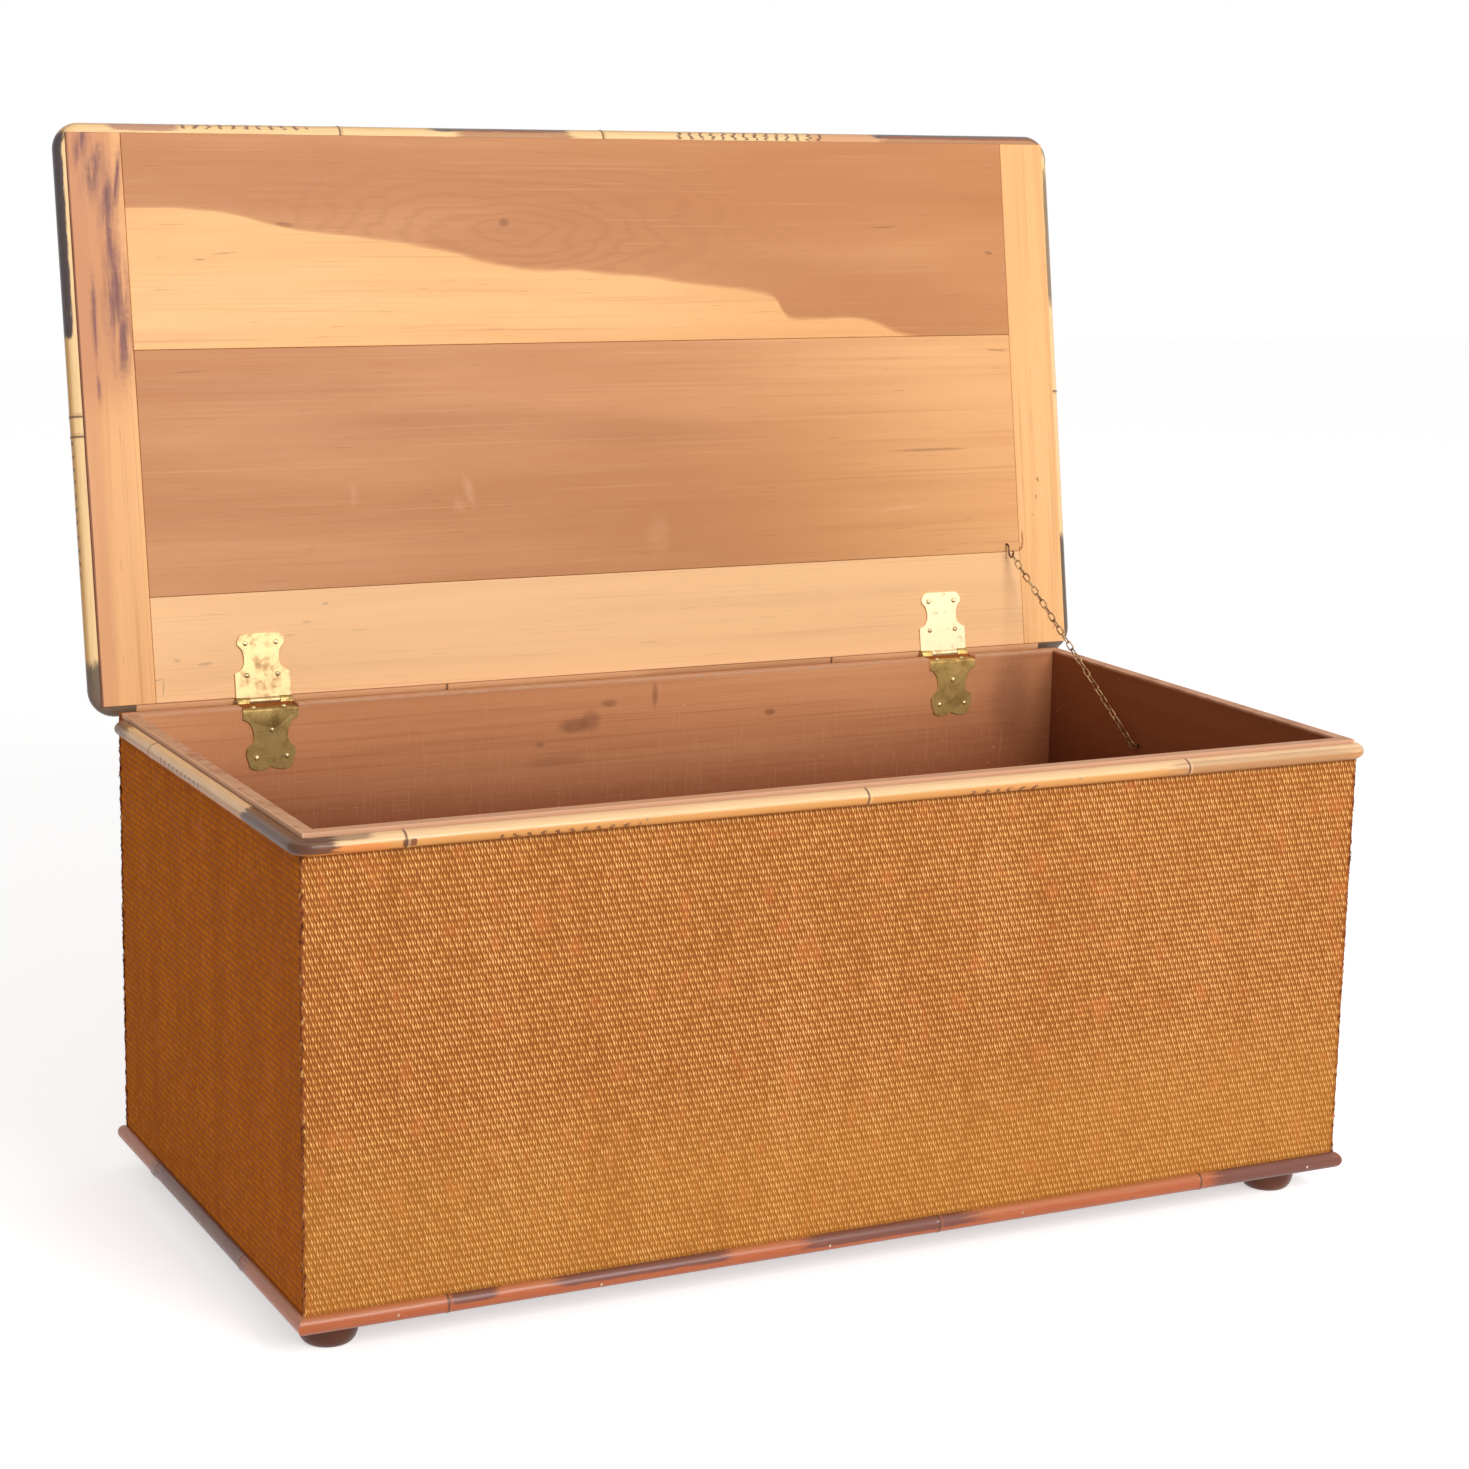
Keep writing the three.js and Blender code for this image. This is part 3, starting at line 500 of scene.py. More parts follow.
# The side panels use the darker side tints, painted shade.
shaded_side_grass = grass_material("dyed_grass_sides", (lying, lying, 0), (0, 0, 0), grass_side_painted_shade, 0.2, 0.2)
for node, out, seed, grass in (
        ("front_matting", (0, -1, 0), 11, case_grass), ("back_matting", (0, 1, 0), 23, case_grass),
        ("left_matting", (-1, 0, 0), 37, shaded_side_grass), ("right_matting", (1, 0, 0), 41, shaded_side_grass)):
    low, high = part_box(node)
    size = high - low
    face = [(low[i] + high[i]) / 2 if not out[i] else (low if out[i] < 0 else high)[i] - out[i] * backing_drop
            for i in range(3)]
    mesh = woven(max(size.x, size.y), size.z, min(size.x, size.y) - backing_drop,
                 wall_place(face, out), seed, grass)
    shown(node + "_woven", mesh, "case", "matting", grass, node)

fray, given, last = new_growth("frayed_corner", "Height", "Depth", Blade="Object", Ends="Int", Seed="Int")
seed = given["Seed"]
line = put(fray, "GeometryNodeMeshLine", {
    "Count": given["Ends"], "Offset": vector_of(z=given["Height"] / given["Ends"])})
loose = vector_of(spread(-0.0005, 0.0005, seed), given["Depth"] * spread(0.0, 1.0, seed + 1.0))
cast = vector_of(spread(1.2, 1.9, seed + 2.0), spread(-0.5, 0.5, seed + 3.0), spread(-1.6, 0.2, seed + 4.0))
slim = vector_of(spread(0.3, 0.6, seed + 5.0), 0.75, 1.0)
strewn = sown(moved(line, loose), given["Blade"], cast, slim)
in_material(real(stored(strewn, "tone", spread(0.0, 1.0, seed + 6.0), "INSTANCE")), given, last)

frayed_ends, tree = new_material("frayed_grass_ends")
tone = attribute(tree, "tone")
colour = layered(mixed(span(tone, 0.1, 0.7), (104, 44, 14), (168, 92, 40)),
                 (span(tone, 0.82, 0.95), (226, 170, 110)))
finish(tree, colour, 0.65, (noise(own_coords(tree), 700.0), 0.0003, 0.5), specular=0.2)
corner_low, corner_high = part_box("front_matting")
left, right, front = corner_low.x, corner_high.x, corner_low.y
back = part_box("back_matting")[1].y
for name, x, y, seed in (("front_left", left, front, 61), ("front_right", right, front, 67),
                         ("back_left", left, back, 71), ("back_right", right, back, 73)):
    inward = Vector((math.copysign(0.0007, -x), math.copysign(0.0006, -y), 0))
    mesh = grown(fray, block("corner", (0.001, 0.001, 0.001), (0, 0, 0)), {
        "Blade": grass_blade, "Height": corner_high.z - corner_low.z - 0.004,
        "Depth": math.copysign(0.0028, -y), "Ends": 320, "Seed": seed, "Material": frayed_ends},
        Matrix.Translation(Vector((x, y, corner_low.z + 0.003)) + inward))
    shown(name + "_frayed_corner", mesh, "case", "matting", frayed_ends)

# Top cane. One half-round length of split bamboo nailed round the front and ends of the box just below
# its rim, heated and bent at the front corners. Joints stand as low rings, and scorching browns the bends.

top_low, top_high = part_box("top_cane")
top_rise = (top_high.z - top_low.z) / 2 - 0.0008
top_middle = (top_high.z + top_low.z) / 2
top_out = 0.010
top_bend = 0.009
cane_edge = 50

half_round, given, last = new_growth("half_round_cane", "Half height", "Depth")
outline = put(half_round, "GeometryNodeCurveArc", {
    "Resolution": 13, 4: 1.0, "Start Angle": -math.pi / 2, "Sweep Angle": math.pi, "Connect Center": True})
turned_so_far = put(half_round, "GeometryNodeSplineParameter", out="Factor")
section = put(half_round, "GeometryNodeTransform", {
    "Geometry": stored(outline, "around", turned_so_far * ((math.pi + 2) / math.pi)),
    "Scale": vector_of(given["Depth"], given["Half height"], 1.0)})
length = put(half_round, "GeometryNodeSplineParameter", out="Length")
cane = put(half_round, "GeometryNodeCurveToMesh", {
    "Curve": stored(given["Geometry"], "along", length), "Profile Curve": section,
    "Scale": put(half_round, "GeometryNodeInputRadius"), "Fill Caps": True})
in_material(real(cane), given, last)


def line_object(name, points, swells=None):
    """A line through its points, thicker where it swells"""
    curve = bpy.data.curves.new(name, "CURVE")
    curve.dimensions, curve.twist_mode = "3D", "Z_UP"
    line = curve.splines.new("POLY")
    line.points.add(len(points) - 1)
    for point, place, swell in zip(line.points, points, swells or [1.0] * len(points)):
        point.co, point.radius = (*place, 1), swell
    return linked(name, curve)


def cane_path(corners, bend, rings):
    """A cane's back edge through its corners, each inner one bent, swelling at rings given along it"""
    points, swells, done = [], [], 0.0
    for leg, (start, end) in enumerate(zip(corners, corners[1:])):
        start, end = Vector(start), Vector(end)
        along = (end - start).normalized()
        inner = leg < len(corners) - 2
        start += along * (bend if leg else 0)
        end -= along * (bend if inner else 0)
        length = (end - start).length
        near_rings = [ring - done + step for ring in rings
                      for step in (-0.006, -0.0025, -0.001, 0.0, 0.001, 0.0025, 0.006)]
        pieces = max(2, int(length / 0.02))
        marks = [length * k / pieces for k in range(pieces)] + [length]
        marks += [mark for mark in near_rings if 0 < mark < length]
        for mark in sorted(set(round(m, 5) for m in marks)):
            near = min(abs(done + mark - ring) for ring in rings)
            swell = 1 + 0.055 * math.exp(-(near / 0.0012) ** 2) + 0.02 * math.exp(-(near / 0.012) ** 2)
            points.append(start.lerp(end, mark / length))
            swells.append(swell * (1 + 0.006 * math.sin((done + mark) * 31) * math.cos((done + mark) * 13)))
        done += length
        if inner:
            ahead = (Vector(corners[leg + 2]) - Vector(corners[leg + 1])).normalized()
            centre = end + ahead * bend
            for angle in [math.pi / 2 * step / 12 for step in range(1, 12)]:
                points.append(centre + (along * math.sin(angle) - ahead * math.cos(angle)) * bend)
                swells.append(1.0)
            done += bend * math.pi / 2
    return line_object("cane_path", points, swells)


def laid_cane(corners, bend, rings, half_height, depth, material, place):
    """The mesh of one length of cane"""
    return grown(half_round, cane_path(corners, bend, rings), {
        "Half height": half_height, "Depth": depth, "Material": material}, place)


def pale_cane(name, body, material, node, corners, bend, rings, half_height, depth, place):
    """A finished length of the pale cane"""
    mesh = laid_cane(corners, bend, rings, half_height, depth, material, place)
    shown(name, smoothed(mesh, cane_edge), body, "pale_cane", material, node)


# Split cane reads how far along the length and how far round the section each point lies
split_cane, given, last = new_tree("Shader", "split_cane", ("Streaks along", "Streaks around"),
                                   dict.fromkeys(("Streaks", "Along", "Around"), "Float"))
along, around = attribute(split_cane, "along"), attribute(split_cane, "around")
strip = vector_of(along * given["Streaks along"], around * given["Streaks around"])
join(last, {"Streaks": noise(strip, 1.0, 4.0, 0.6), "Along": along, "Around": around})


def ranged(value, low, high, fade):
    """1 between two values, fading out beyond them"""
    return span(calc("ABSOLUTE", value - (low + high) / 2), (high - low) / 2 + fade, (high - low) / 2)


def cane_material(name, tints, levels, rings, stains, ticks=(), varnish=0.35):
    """Varnished split cane. Tints run from its upper side to its lower, and carry painted highlight and painted shade
    round the section; rings are dark lines across it.

    A stain is a colour, from and to along the cane, its fade, its strength, and from and to around it."""
    made, tree = new_material(name)
    upper, middle, lower = tints
    cane = use_group(tree, split_cane, {"Streaks along": 14.0, "Streaks around": 26.0})
    streaks, along, around = cane["Streaks"], cane["Along"], cane["Around"]
    colour = layered(
        mixed(span(around, *levels[:2]), upper, middle), (span(around, *levels[2:]), lower),
        (span(streaks, 0.4, 0.75, 0.0, 0.35), (192, 124, 64)))
    blotch = noise(vector_of(along, around * 0.3), 30.0, 5.0, 0.7)
    for tint, start, end, fade, strength, low, high in stains:
        reached = ranged(along, start, end, fade * 2.5) * ranged(around, low, high, 0.2)
        broken = span(reached + (blotch - 0.5) * 1.6, 0.32, 0.8, 0.0, strength)
        colour = mixed(broken * span(reached, 0.0, 0.2), colour, tint)
    colour = mixed(span(streaks, 0.66, 0.74, 0.0, 0.35), colour, (226, 196, 160))
    for ring in rings:
        colour = layered(
            colour, (ranged(along, ring - 0.0005, ring + 0.0005, 0.0012) * 0.85, (86, 52, 32)),
            (ranged(along, ring + 0.002, ring + 0.003, 0.0015) * 0.35, upper))
    for start, end, low, high in ticks:
        beat = along * 79.0 + blotch * 1.7
        kept = ranged(along, start, end, 0.003) * ranged(around, low, high, 0.06)
        stroke = span(calc("COSINE", beat * math.tau), 0.5, 0.8)
        colour = mixed(stroke * kept * 0.85, colour, (96, 50, 34))
    finish(tree, colour, span(streaks, 0.3, 0.7, 0.3, 0.46), (streaks, 0.0005, 0.35), specular=0.35,
           coat=(varnish, 0.16))
    return made


side_run = top_high.y - front
bend_saving = math.pi / 2 - 2
front_run = side_run + bend_saving * top_bend
right_run = front_run + (right - left) + bend_saving * top_bend
top_rings = [side_run - 0.403, front_run + 0.0875, front_run + 0.52, front_run + 0.86, right_run + 0.24]
scorch, lilac, orange = (88, 48, 28), (190, 134, 90), (222, 134, 64)
top_stains = [
    (lilac, 0.0, side_run - 0.12, 0.02, 0.8, 0.5, 1.2),
    (orange, side_run + 0.004, front_run + 0.05, 0.02, 0.8, 0.55, 0.9),
    (scorch, side_run - 0.108, front_run + 0.012, 0.014, 0.92, -0.2, 0.62),
    (scorch, side_run - 0.108, side_run - 0.012, 0.014, 0.92, 0.4, 1.2),
    (scorch, front_run + 0.012, front_run + 0.046, 0.012, 0.6, -0.2, 0.2),
    (scorch, -0.02, 0.012, 0.02, 0.8, -0.2, 1.2),
    ((112, 54, 26), front_run + 0.086, front_run + 0.095, 0.0015, 0.9, 0.52, 0.6),
    ((150, 110, 84), front_run + 0.9, front_run + 1.0, 0.05, 0.5, 0.3, 1.0),
    (scorch, right_run + 0.05, right_run + 0.12, 0.03, 0.5, 0.2, 0.8)]
top_ticks = [(side_run - 0.367, side_run - 0.246, 0.42, 0.74), (front_run + 0.172, front_run + 0.298, 0.6, 0.84),
             (front_run + 0.62, front_run + 0.7, 0.6, 0.85)]
# The top cane's pale upper tint is a painted highlight along its top, and its dark olive lower tint is painted shade
# along its underside, round its own gold.
top_material = cane_material("split_cane_top", ((240, 198, 148), (214, 150, 80), (128, 74, 30)),
                             (0.36, 0.5, 0.7, 0.86), top_rings, top_stains, top_ticks, 0.08)
top_corners = [(left, top_high.y, 0), (left, front, 0), (right, front, 0), (right, top_high.y, 0)]
pale_cane("top_cane_bent", "case", top_material, "top_cane", top_corners, top_bend, top_rings, top_rise, top_out,
          Matrix.Translation((0, 0, top_middle)))

# Bottom cane. Four thinner half-round lengths, stained brown and varnished, mitred and nailed round
# the foot of the box.

bottom_rise = 0.008
bottom_out = 0.007
bottom_middle = (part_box("front_bottom_cane")[0].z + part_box("front_bottom_cane")[1].z) / 2
# The brown cane's lighter upper tint is a painted highlight along its top, and its dark lower tint is painted shade
# along its underside, round its own reddish brown.
brown_cane_painted_light_and_shade = ((178, 106, 66), (174, 86, 44), (104, 44, 22))
purple = (92, 56, 52)
for side, start, end, rings, stains in (
        ("front", (left, front, 0), (right, front, 0), (0.127, 0.61, 0.9),
         [(0.25, 0.37, 0.02, -0.2, 0.4), (0.14, 0.16, 0.01, -0.2, 0.4), (0.52, 0.6, 0.04, 0.0, 0.5),
          (0.95, 1.03, 0.03, 0.0, 1.0)]),
        ("right", (right, front, 0), (right, back, 0), (0.19, 0.43), [(0.3, 0.4, 0.04, 0.0, 0.6)]),
        ("back", (right, back, 0), (left, back, 0), (0.2, 0.52, 0.87), [(0.3, 0.42, 0.04, 0.0, 0.6)]),
        ("left", (left, back, 0), (left, front, 0), (0.12, 0.38), [(0.17, 0.33, 0.05, -0.2, 1.2)])):
    material = cane_material("split_cane_" + side, brown_cane_painted_light_and_shade, (0.2, 0.45, 0.7, 0.95), rings,
                             [(purple, a, b, fade, 0.8, low, high) for a, b, fade, low, high in stains],
                             varnish=0.2)
    mesh = laid_cane([start, end], 0, rings, bottom_rise, bottom_out, material,
                     Matrix.Translation((0, 0, bottom_middle)))
    length = (Vector(end) - Vector(start)).length
    along = (Vector(end) - Vector(start)).normalized()
    out = along.cross(Vector((0, 0, 1)))
    for vertex in mesh.vertices:
        from_start = vertex.co - Vector(start)
        if from_start.dot(along) < 1e-5:
            vertex.co -= along * from_start.dot(out)
        elif from_start.dot(along) > length - 1e-5:
            vertex.co += along * from_start.dot(out)
    node = side + "_bottom_cane"
    shown(node + "_laid", smoothed(mesh, cane_edge), "case", "dark_cane", material, node)

# Feet. Four turned bun feet of dark stained hardwood, glued and screwed up into the bottom board.

foot_profile = [(0, 0), (0.69, 0), (0.76, 0.02), (0.82, 0.06), (0.9, 0.16), (0.955, 0.28), (0.99, 0.41), (1, 0.54),
                (0.985, 0.68), (0.94, 0.81), (0.87, 0.91), (0.8, 0.97), (0.7, 1), (0, 1)]


def lathe(profile, radius, tall, steps):
    """A turned shape, its profile given as shares of its radius and height"""
    shell = bmesh.new()
    ring = [shell.verts.new((share * radius, 0, rise * tall)) for share, rise in profile]
    edges = [shell.edges.new(pair) for pair in zip(ring, ring[1:])]
    bmesh.ops.spin(shell, geom=ring + edges, cent=(0, 0, 0), axis=(0, 0, 1), angle=math.tau, steps=steps)
    bmesh.ops.remove_doubles(shell, verts=shell.verts, dist=1e-6)
    bmesh.ops.recalc_face_normals(shell, faces=shell.faces)
    return shell


foot_wood, tree = new_material("turned_hardwood")
grain = grained(own_coords(tree), 160.0, 0.01)
colour = layered(mixed(span(grain["Drift"], 0.3, 0.7), (84, 38, 15), (124, 62, 26)),
                 (grain["Rings"] * 0.35, (70, 32, 14)))
finish(tree, colour, 0.38, (grain["Fibres"], 0.0003, 0.3), specular=0.3, coat=(0.12, 0.2))
for node in ("front_left_foot", "front_right_foot", "back_left_foot", "back_right_foot"):
    low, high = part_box(node)
    shell = lathe(foot_profile, (high.x - low.x) / 2, high.z - low.z, 56)
    bmesh.ops.translate(shell, vec=((low.x + high.x) / 2, (low.y + high.y) / 2, low.z), verts=shell.verts)
    mesh = smoothed(filled(node + "_turned", shell), 35)
    shown(node + "_turned", mesh, "case", "turned_foot", foot_wood, node)

# Lid boards. Three wide softwood boards side by side, held flat by a clamp board across each end, bare
# under clear varnish. Pale sapwood gives way to pinkish heartwood; the left clamp is stained in streaks.

hinge_axis = Vector(frame["joints"][0]["pos_m"])
opening = math.radians(99.65)
lid_place = Matrix.Translation(hinge_axis) @ Matrix.Rotation(-opening, 4, "X")
to_lid = -(Matrix.Rotation(opening, 3, "X") @ hinge_axis)
sap_pale, sap_warm = (246, 188, 126), (236, 174, 112)
heart_light, heart_deep = (208, 146, 98), (188, 124, 76)


def lid_board_material(name, shift, turn, heart, rings, marks, more):
    """Varnished softwood. Heart is how pink it is; marks are spots at X and reach, dark or below 0 pale"""
    made, tree = new_material(name)
    flat = turned(own_coords(tree), (opening, 0, 0), to_lid)
    grain = grained(turned(flat, turn), rings, 0.035, shift)
    pale = mixed(span(grain["Drift"], 0.32, 0.7), sap_pale, sap_warm)
    pink = mixed(span(grain["Drift"], 0.3, 0.7), heart_light, heart_deep)
    colour = layered(
        mixed(heart(flat) if callable(heart) else heart, pale, pink), (grain["Rings"] * 0.16, (186, 118, 70)),
        (span(grain["Hairs"], 0.52, 0.78, 0.0, 0.42), (182, 114, 72)),
        (span(grain["Hairs"], 0.42, 0.26, 0.0, 0.14), (246, 200, 150)), (grain["Flecks"] * 0.3, (160, 96, 58)))
    for x, reach, wide, tall, lean, deep in marks:
        soft, tint = ((0.5, 0.3), (112, 68, 44)) if deep > 0 else ((0.95, 1.2), (238, 190, 146))
        colour = mixed(spot(flat, x, -reach, wide, tall, lean, *soft) * abs(deep), colour, tint)
    colour = more(flat, colour)
    finish(tree, colour, span(grain["Fibres"], 0.3, 0.7, 0.42, 0.56), (grain["Fibres"], 0.0002, 0.3),
           specular=0.22, coat=(0.04, 0.3))
    return made


def sap_line(flat):
    """1 in the heartwood of the front board, above a wandering line"""
    curve = put(flat.tree, "ShaderNodeFloatCurve", {"Value": span(part(flat, "X"), -0.5, 0.5, kind="LINEAR")})
    mapping = curve.socket.node.mapping
    points = mapping.curves[0].points
    points[0].location, points[1].location = (0, 0.905), (1, 0.15)
    for x, reach in ((0.007, 481), (0.083, 480), (0.183, 460), (0.265, 451), (0.328, 439), (0.411, 421),
                     (0.482, 416), (0.59, 405), (0.70, 391), (0.722, 366), (0.801, 364), (0.868, 345)):
        points.new(x, (reach - 300) / 200)
    mapping.update()
    ripple = (drawn_out(flat, (9, 40, 1)) - 0.5) * 0.012
    return span(curve * -0.2 - 0.3 + ripple - part(flat, "Y"), -0.0035, 0.0035)


def arches(flat, colour):
    """Growth rings that sweep round a small knot high on the board"""
    from_knot = vector_calc("DISTANCE", turned(flat, scale=(0.3, 1, 1)), (-0.03, -0.458, 0), "Value")
    rings = calc("SINE", (from_knot + drawn_out(flat, (5, 22, 1), 3.0) * 0.06) * 620.0)
    heart = sap_line(flat)
    lines = span(rings, 0.0, 1.0) * (heart * span(from_knot, 0.12, 0.03)) * 0.22
    edge = ranged(heart - 0.5, -0.3, 0.3, 0.15) * span(part(flat, "X"), -0.1, -0.3, 0.12, 0.4)
    return layered(colour, (lines, (166, 104, 64)), (edge, (172, 110, 66)))


def even_pink(flat):
    """Heartwood all along the middle board, thinner towards the right"""
    return span(part(flat, "X"), 0.05, 0.5, 1.0, 0.3)


def pale_wash(flat, colour):
    """Sapwood bleached all over"""
    return mixed(0.35, colour, (255, 212, 166))


def highest(values):
    return reduce(lambda one, other: calc("MAXIMUM", one, other), values)


def clamp_streaks(flat, colour):
    """Purplish brown staining that runs down the left clamp board in ragged streaks, beside a dark line of painted
    shade along the gap next to the cane
    """
    across = part(flat, "X")
    tanned = span(part(flat, "Y"), -0.26, -0.34, 0.15, 0.85) * span(across, -0.494, -0.51)
    wavering = drawn_out(flat, (1, 14, 1), 3.0) * 0.002
    streaks = ((-530, 538, 8, 20, -14), (-519, 512, 12, 26, -12), (-508, 480, 9, 30, -4), (-508, 436, 9, 34, 3),
               (-505, 394, 13, 42, -3), (-500, 350, 11, 30, -4), (-527, 372, 3.5, 42, 0), (-527, 308, 2.2, 14, 0),
               (-498, 500, 4, 34, -10))
    stain, core, halo = (
        highest(spot(flat, x, -reach - drop, wide / slim, tall / short, lean, *soft)
                for x, reach, wide, tall, lean in streaks)
        for drop, slim, short, *soft in ((0, 1, 1, 0.6, 0.35), (4, 2.6, 1.4, 0.7, 0.5), (0, 0.55, 0.7, 0.8, 0.4)))
    ragged = drawn_out(flat, (210, 15, 1), 3.0, 0.6)
    # The dark line along the board's outer edge is painted shade in the gap beside the cane.
    return layered(
        colour, (tanned, (204, 140, 92)), (span(across, -0.522, -0.535, 0.0, 0.45), (198, 130, 96)),
        (span(across + wavering, -0.5408, -0.5418, 0.0, 0.85), (116, 60, 40)), (halo * 0.5, (206, 140, 98)),
        (stain * span(ragged, 0.34, 0.56, 0.0, 0.8), (164, 108, 82)),
        (core * span(ragged, 0.3, 0.55, 0.25, 0.9), (122, 76, 74)))


def painted_hook_shadow(flat, colour):
    """A painted shadow of the wire hook, a J-shaped curve and downstroke cast on the right clamp board beside it"""
    # The J-shaped mark is painted shadow: the hook's curve and its downstroke.
    bend = spot(flat, 490.5, -111.5, 4.5, 4.5, 0, 0.25, 0.1)
    unshaded_middle = spot(flat, 490.5, -113, 2.5, 3, 0, 0.2, 0.1)
    hook_shadow_mask = calc("MAXIMUM", bend - unshaded_middle, spot(flat, 495, -120, 1.1, 8, 0, 0.3, 0.1))
    return mixed(calc("MAXIMUM", hook_shadow_mask, 0.0) * 0.75, colour, (150, 84, 46))


level_grain, upright_grain = (0, 0, 0), (0, 0, lying)
rear_marks = [
    (-440, 39, 7, 1.6, 6, 0.5), (-335, 74, 5, 1, 4, 0.45), (-314, 91, 3, 1.4, 0, 0.5),
    (-468, 44, 3.5, 1.6, -14, 0.45), (-353, 62, 6, 0.8, 3, 0.35), (-281, 63, 9, 0.8, 2, 0.3),
    (-483, 18, 0.8, 7, -6, 0.6), (-488, 26, 5, 0.8, 8, 0.6)]
middle_marks = [
    (385, 221, 42, 1.4, 0, 0.4), (474, 327, 12, 1.2, -4, 0.35), (-437, 322, 16, 0.8, 2, 0.3),
    (-155, 197, 4, 11, 14, -0.25), (-166, 183, 5, 6, 0, -0.15), (53, 143, 10, 14, -8, -0.14),
    (347, 160, 26, 2, 6, -0.2), (-278, 197, 3, 8, 0, -0.18), (-240, 262, 150, 16, 2, 0.1),
    (20, 252, 120, 14, -2, 0.12), (-330, 300, 90, 20, 0, 0.08)]
front_marks = [
    (-333, 464, 9, 2.2, -8, 0.55), (-100, 466, 5, 4, 0, 0.5), (339, 461, 14, 1, 2, 0.35),
    (470, 433, 5, 1.6, -6, 0.5), (-420, 430, 5, 1, 0, 0.4), (-395, 436, 12, 0.7, 4, 0.35)]
right_marks = [
    (518.3, 184, 1.1, 2.4, 20, 0.7), (515.3, 165, 1.0, 2.4, 0, 0.6), (509.6, 145, 1.2, 1.2, 0, 0.3),
    (529.7, 19.8, 2.2, 1.0, 60, 0.4)]
for name, *looks in (
        ("rear", 2.0, level_grain, 0.06, 26.0, rear_marks, pale_wash),
        ("middle", 9.0, level_grain, even_pink, 30.0, middle_marks, lambda flat, colour: colour),
        ("front", 14.0, level_grain, sap_line, 22.0, front_marks, arches),
        ("left_clamp", 21.0, upright_grain, 0.05, 40.0, [], clamp_streaks),
        ("right_clamp", 27.0, upright_grain, 0.02, 40.0, right_marks, painted_hook_shadow)):
    eased(f"lid_{name}_board", 0.0006, "lid", "lid_board", lid_board_material(f"lid_{name}_wood", *looks))

# Lid matting. One panel of the same dyed grass glued over the outside of the lid, made here in two
# halves that lap a little at the middle.

lid_grass = grass_material("dyed_grass_lid", (opening, 0, 0), to_lid, grass_front, 0.3, 0.44)
lid_half = 0.544
lid_back, lid_front = -0.0038, -0.5515
matting_low = 0.0203
matting_thick = 0.0022
lap = strand_pitch * 0.375
for name, side, seed, sink in (("left", -1, 53, 0), ("right", 1, 59, 0.00005)):
    thick = matting_thick - backing_drop - sink
    middle = (side * (lid_half - lap) / 2, (lid_back + lid_front) / 2, matting_low + thick)
    mesh = woven(lid_half + lap, lid_back - lid_front, thick, lid_place @ Matrix.Translation(middle), seed,
                 lid_grass)
    shown(f"lid_matting_{name}_woven", mesh, "lid", "matting", lid_grass, "lid_matting")

# Lid cane. One heavier length of the same bamboo bent round all four corners of the lid, with a
# straight length that closes the gap along the hinges. The left side is scorched almost black.

lid_rise = 0.010
lid_out = 0.010
lid_bend = 0.016
lid_levels = (0.15, 0.35, 0.6, 0.8)
cane_place = lid_place @ Matrix.Translation((0, 0, 0.014))
edge_x, edge_back, edge_front, tail = 0.5443, -0.0035, -0.5518, 0.034
lid_corners = [(-edge_x + tail, edge_back, 0), (-edge_x, edge_back, 0), (-edge_x, edge_front, 0),
               (edge_x, edge_front, 0), (edge_x, edge_back, 0), (edge_x - tail, edge_back, 0)]
left_run = tail + (math.pi / 2 - 1) * lid_bend
front_run = left_run + (edge_back - edge_front) + bend_saving * lid_bend
right_run = front_run + 2 * edge_x + bend_saving * lid_bend
lid_rings = [left_run + 0.2432, left_run + 0.2623, front_run + 0.26, front_run + 0.5448, right_run + 0.255]
char, grey_scorch, brown_scorch = (50, 38, 44), (74, 68, 70), (158, 92, 60)
lid_stains = [
    (char, left_run + 0.3445, left_run + 0.5215, 0.006, 0.97, 0.1, 0.8),
    (char, 0.0, left_run + 0.012, 0.012, 0.85, 0.1, 1.2),
    # The grey stripe along the charred run is a painted highlight, the shine of varnish on the char.
    ((132, 118, 118), left_run + 0.365, left_run + 0.505, 0.012, 0.6, 0.3, 0.36),
    ((164, 104, 92), front_run + 0.0403, front_run + 0.0813, 0.012, 0.7, 0.5, 0.85),
    (grey_scorch, front_run + 0.372, front_run + 0.492, 0.014, 0.9, 0.2, 0.72),
    (brown_scorch, front_run + 0.40, front_run + 0.492, 0.014, 0.7, 0.8, 1.1),
    ((206, 140, 100), front_run + 0.80, front_run + 0.86, 0.012, 0.7, 0.3, 1.1),
    (grey_scorch, front_run + 0.88, front_run + 1.07, 0.014, 0.95, 0.2, 0.76),
    (brown_scorch, front_run + 0.89, front_run + 1.06, 0.014, 0.75, 0.82, 1.1),
    (char, right_run + 0.036, right_run + 0.136, 0.02, 0.7, 0.3, 0.9),
    (char, right_run + 0.428, right_run + 0.62, 0.012, 0.9, 0.2, 0.95)]
lid_ticks = [(front_run + 0.092, front_run + 0.226, 0.62, 0.82), (front_run + 0.628, front_run + 0.803, 0.7, 0.95),
             (left_run + 0.11, left_run + 0.243, 0.4, 0.6)]
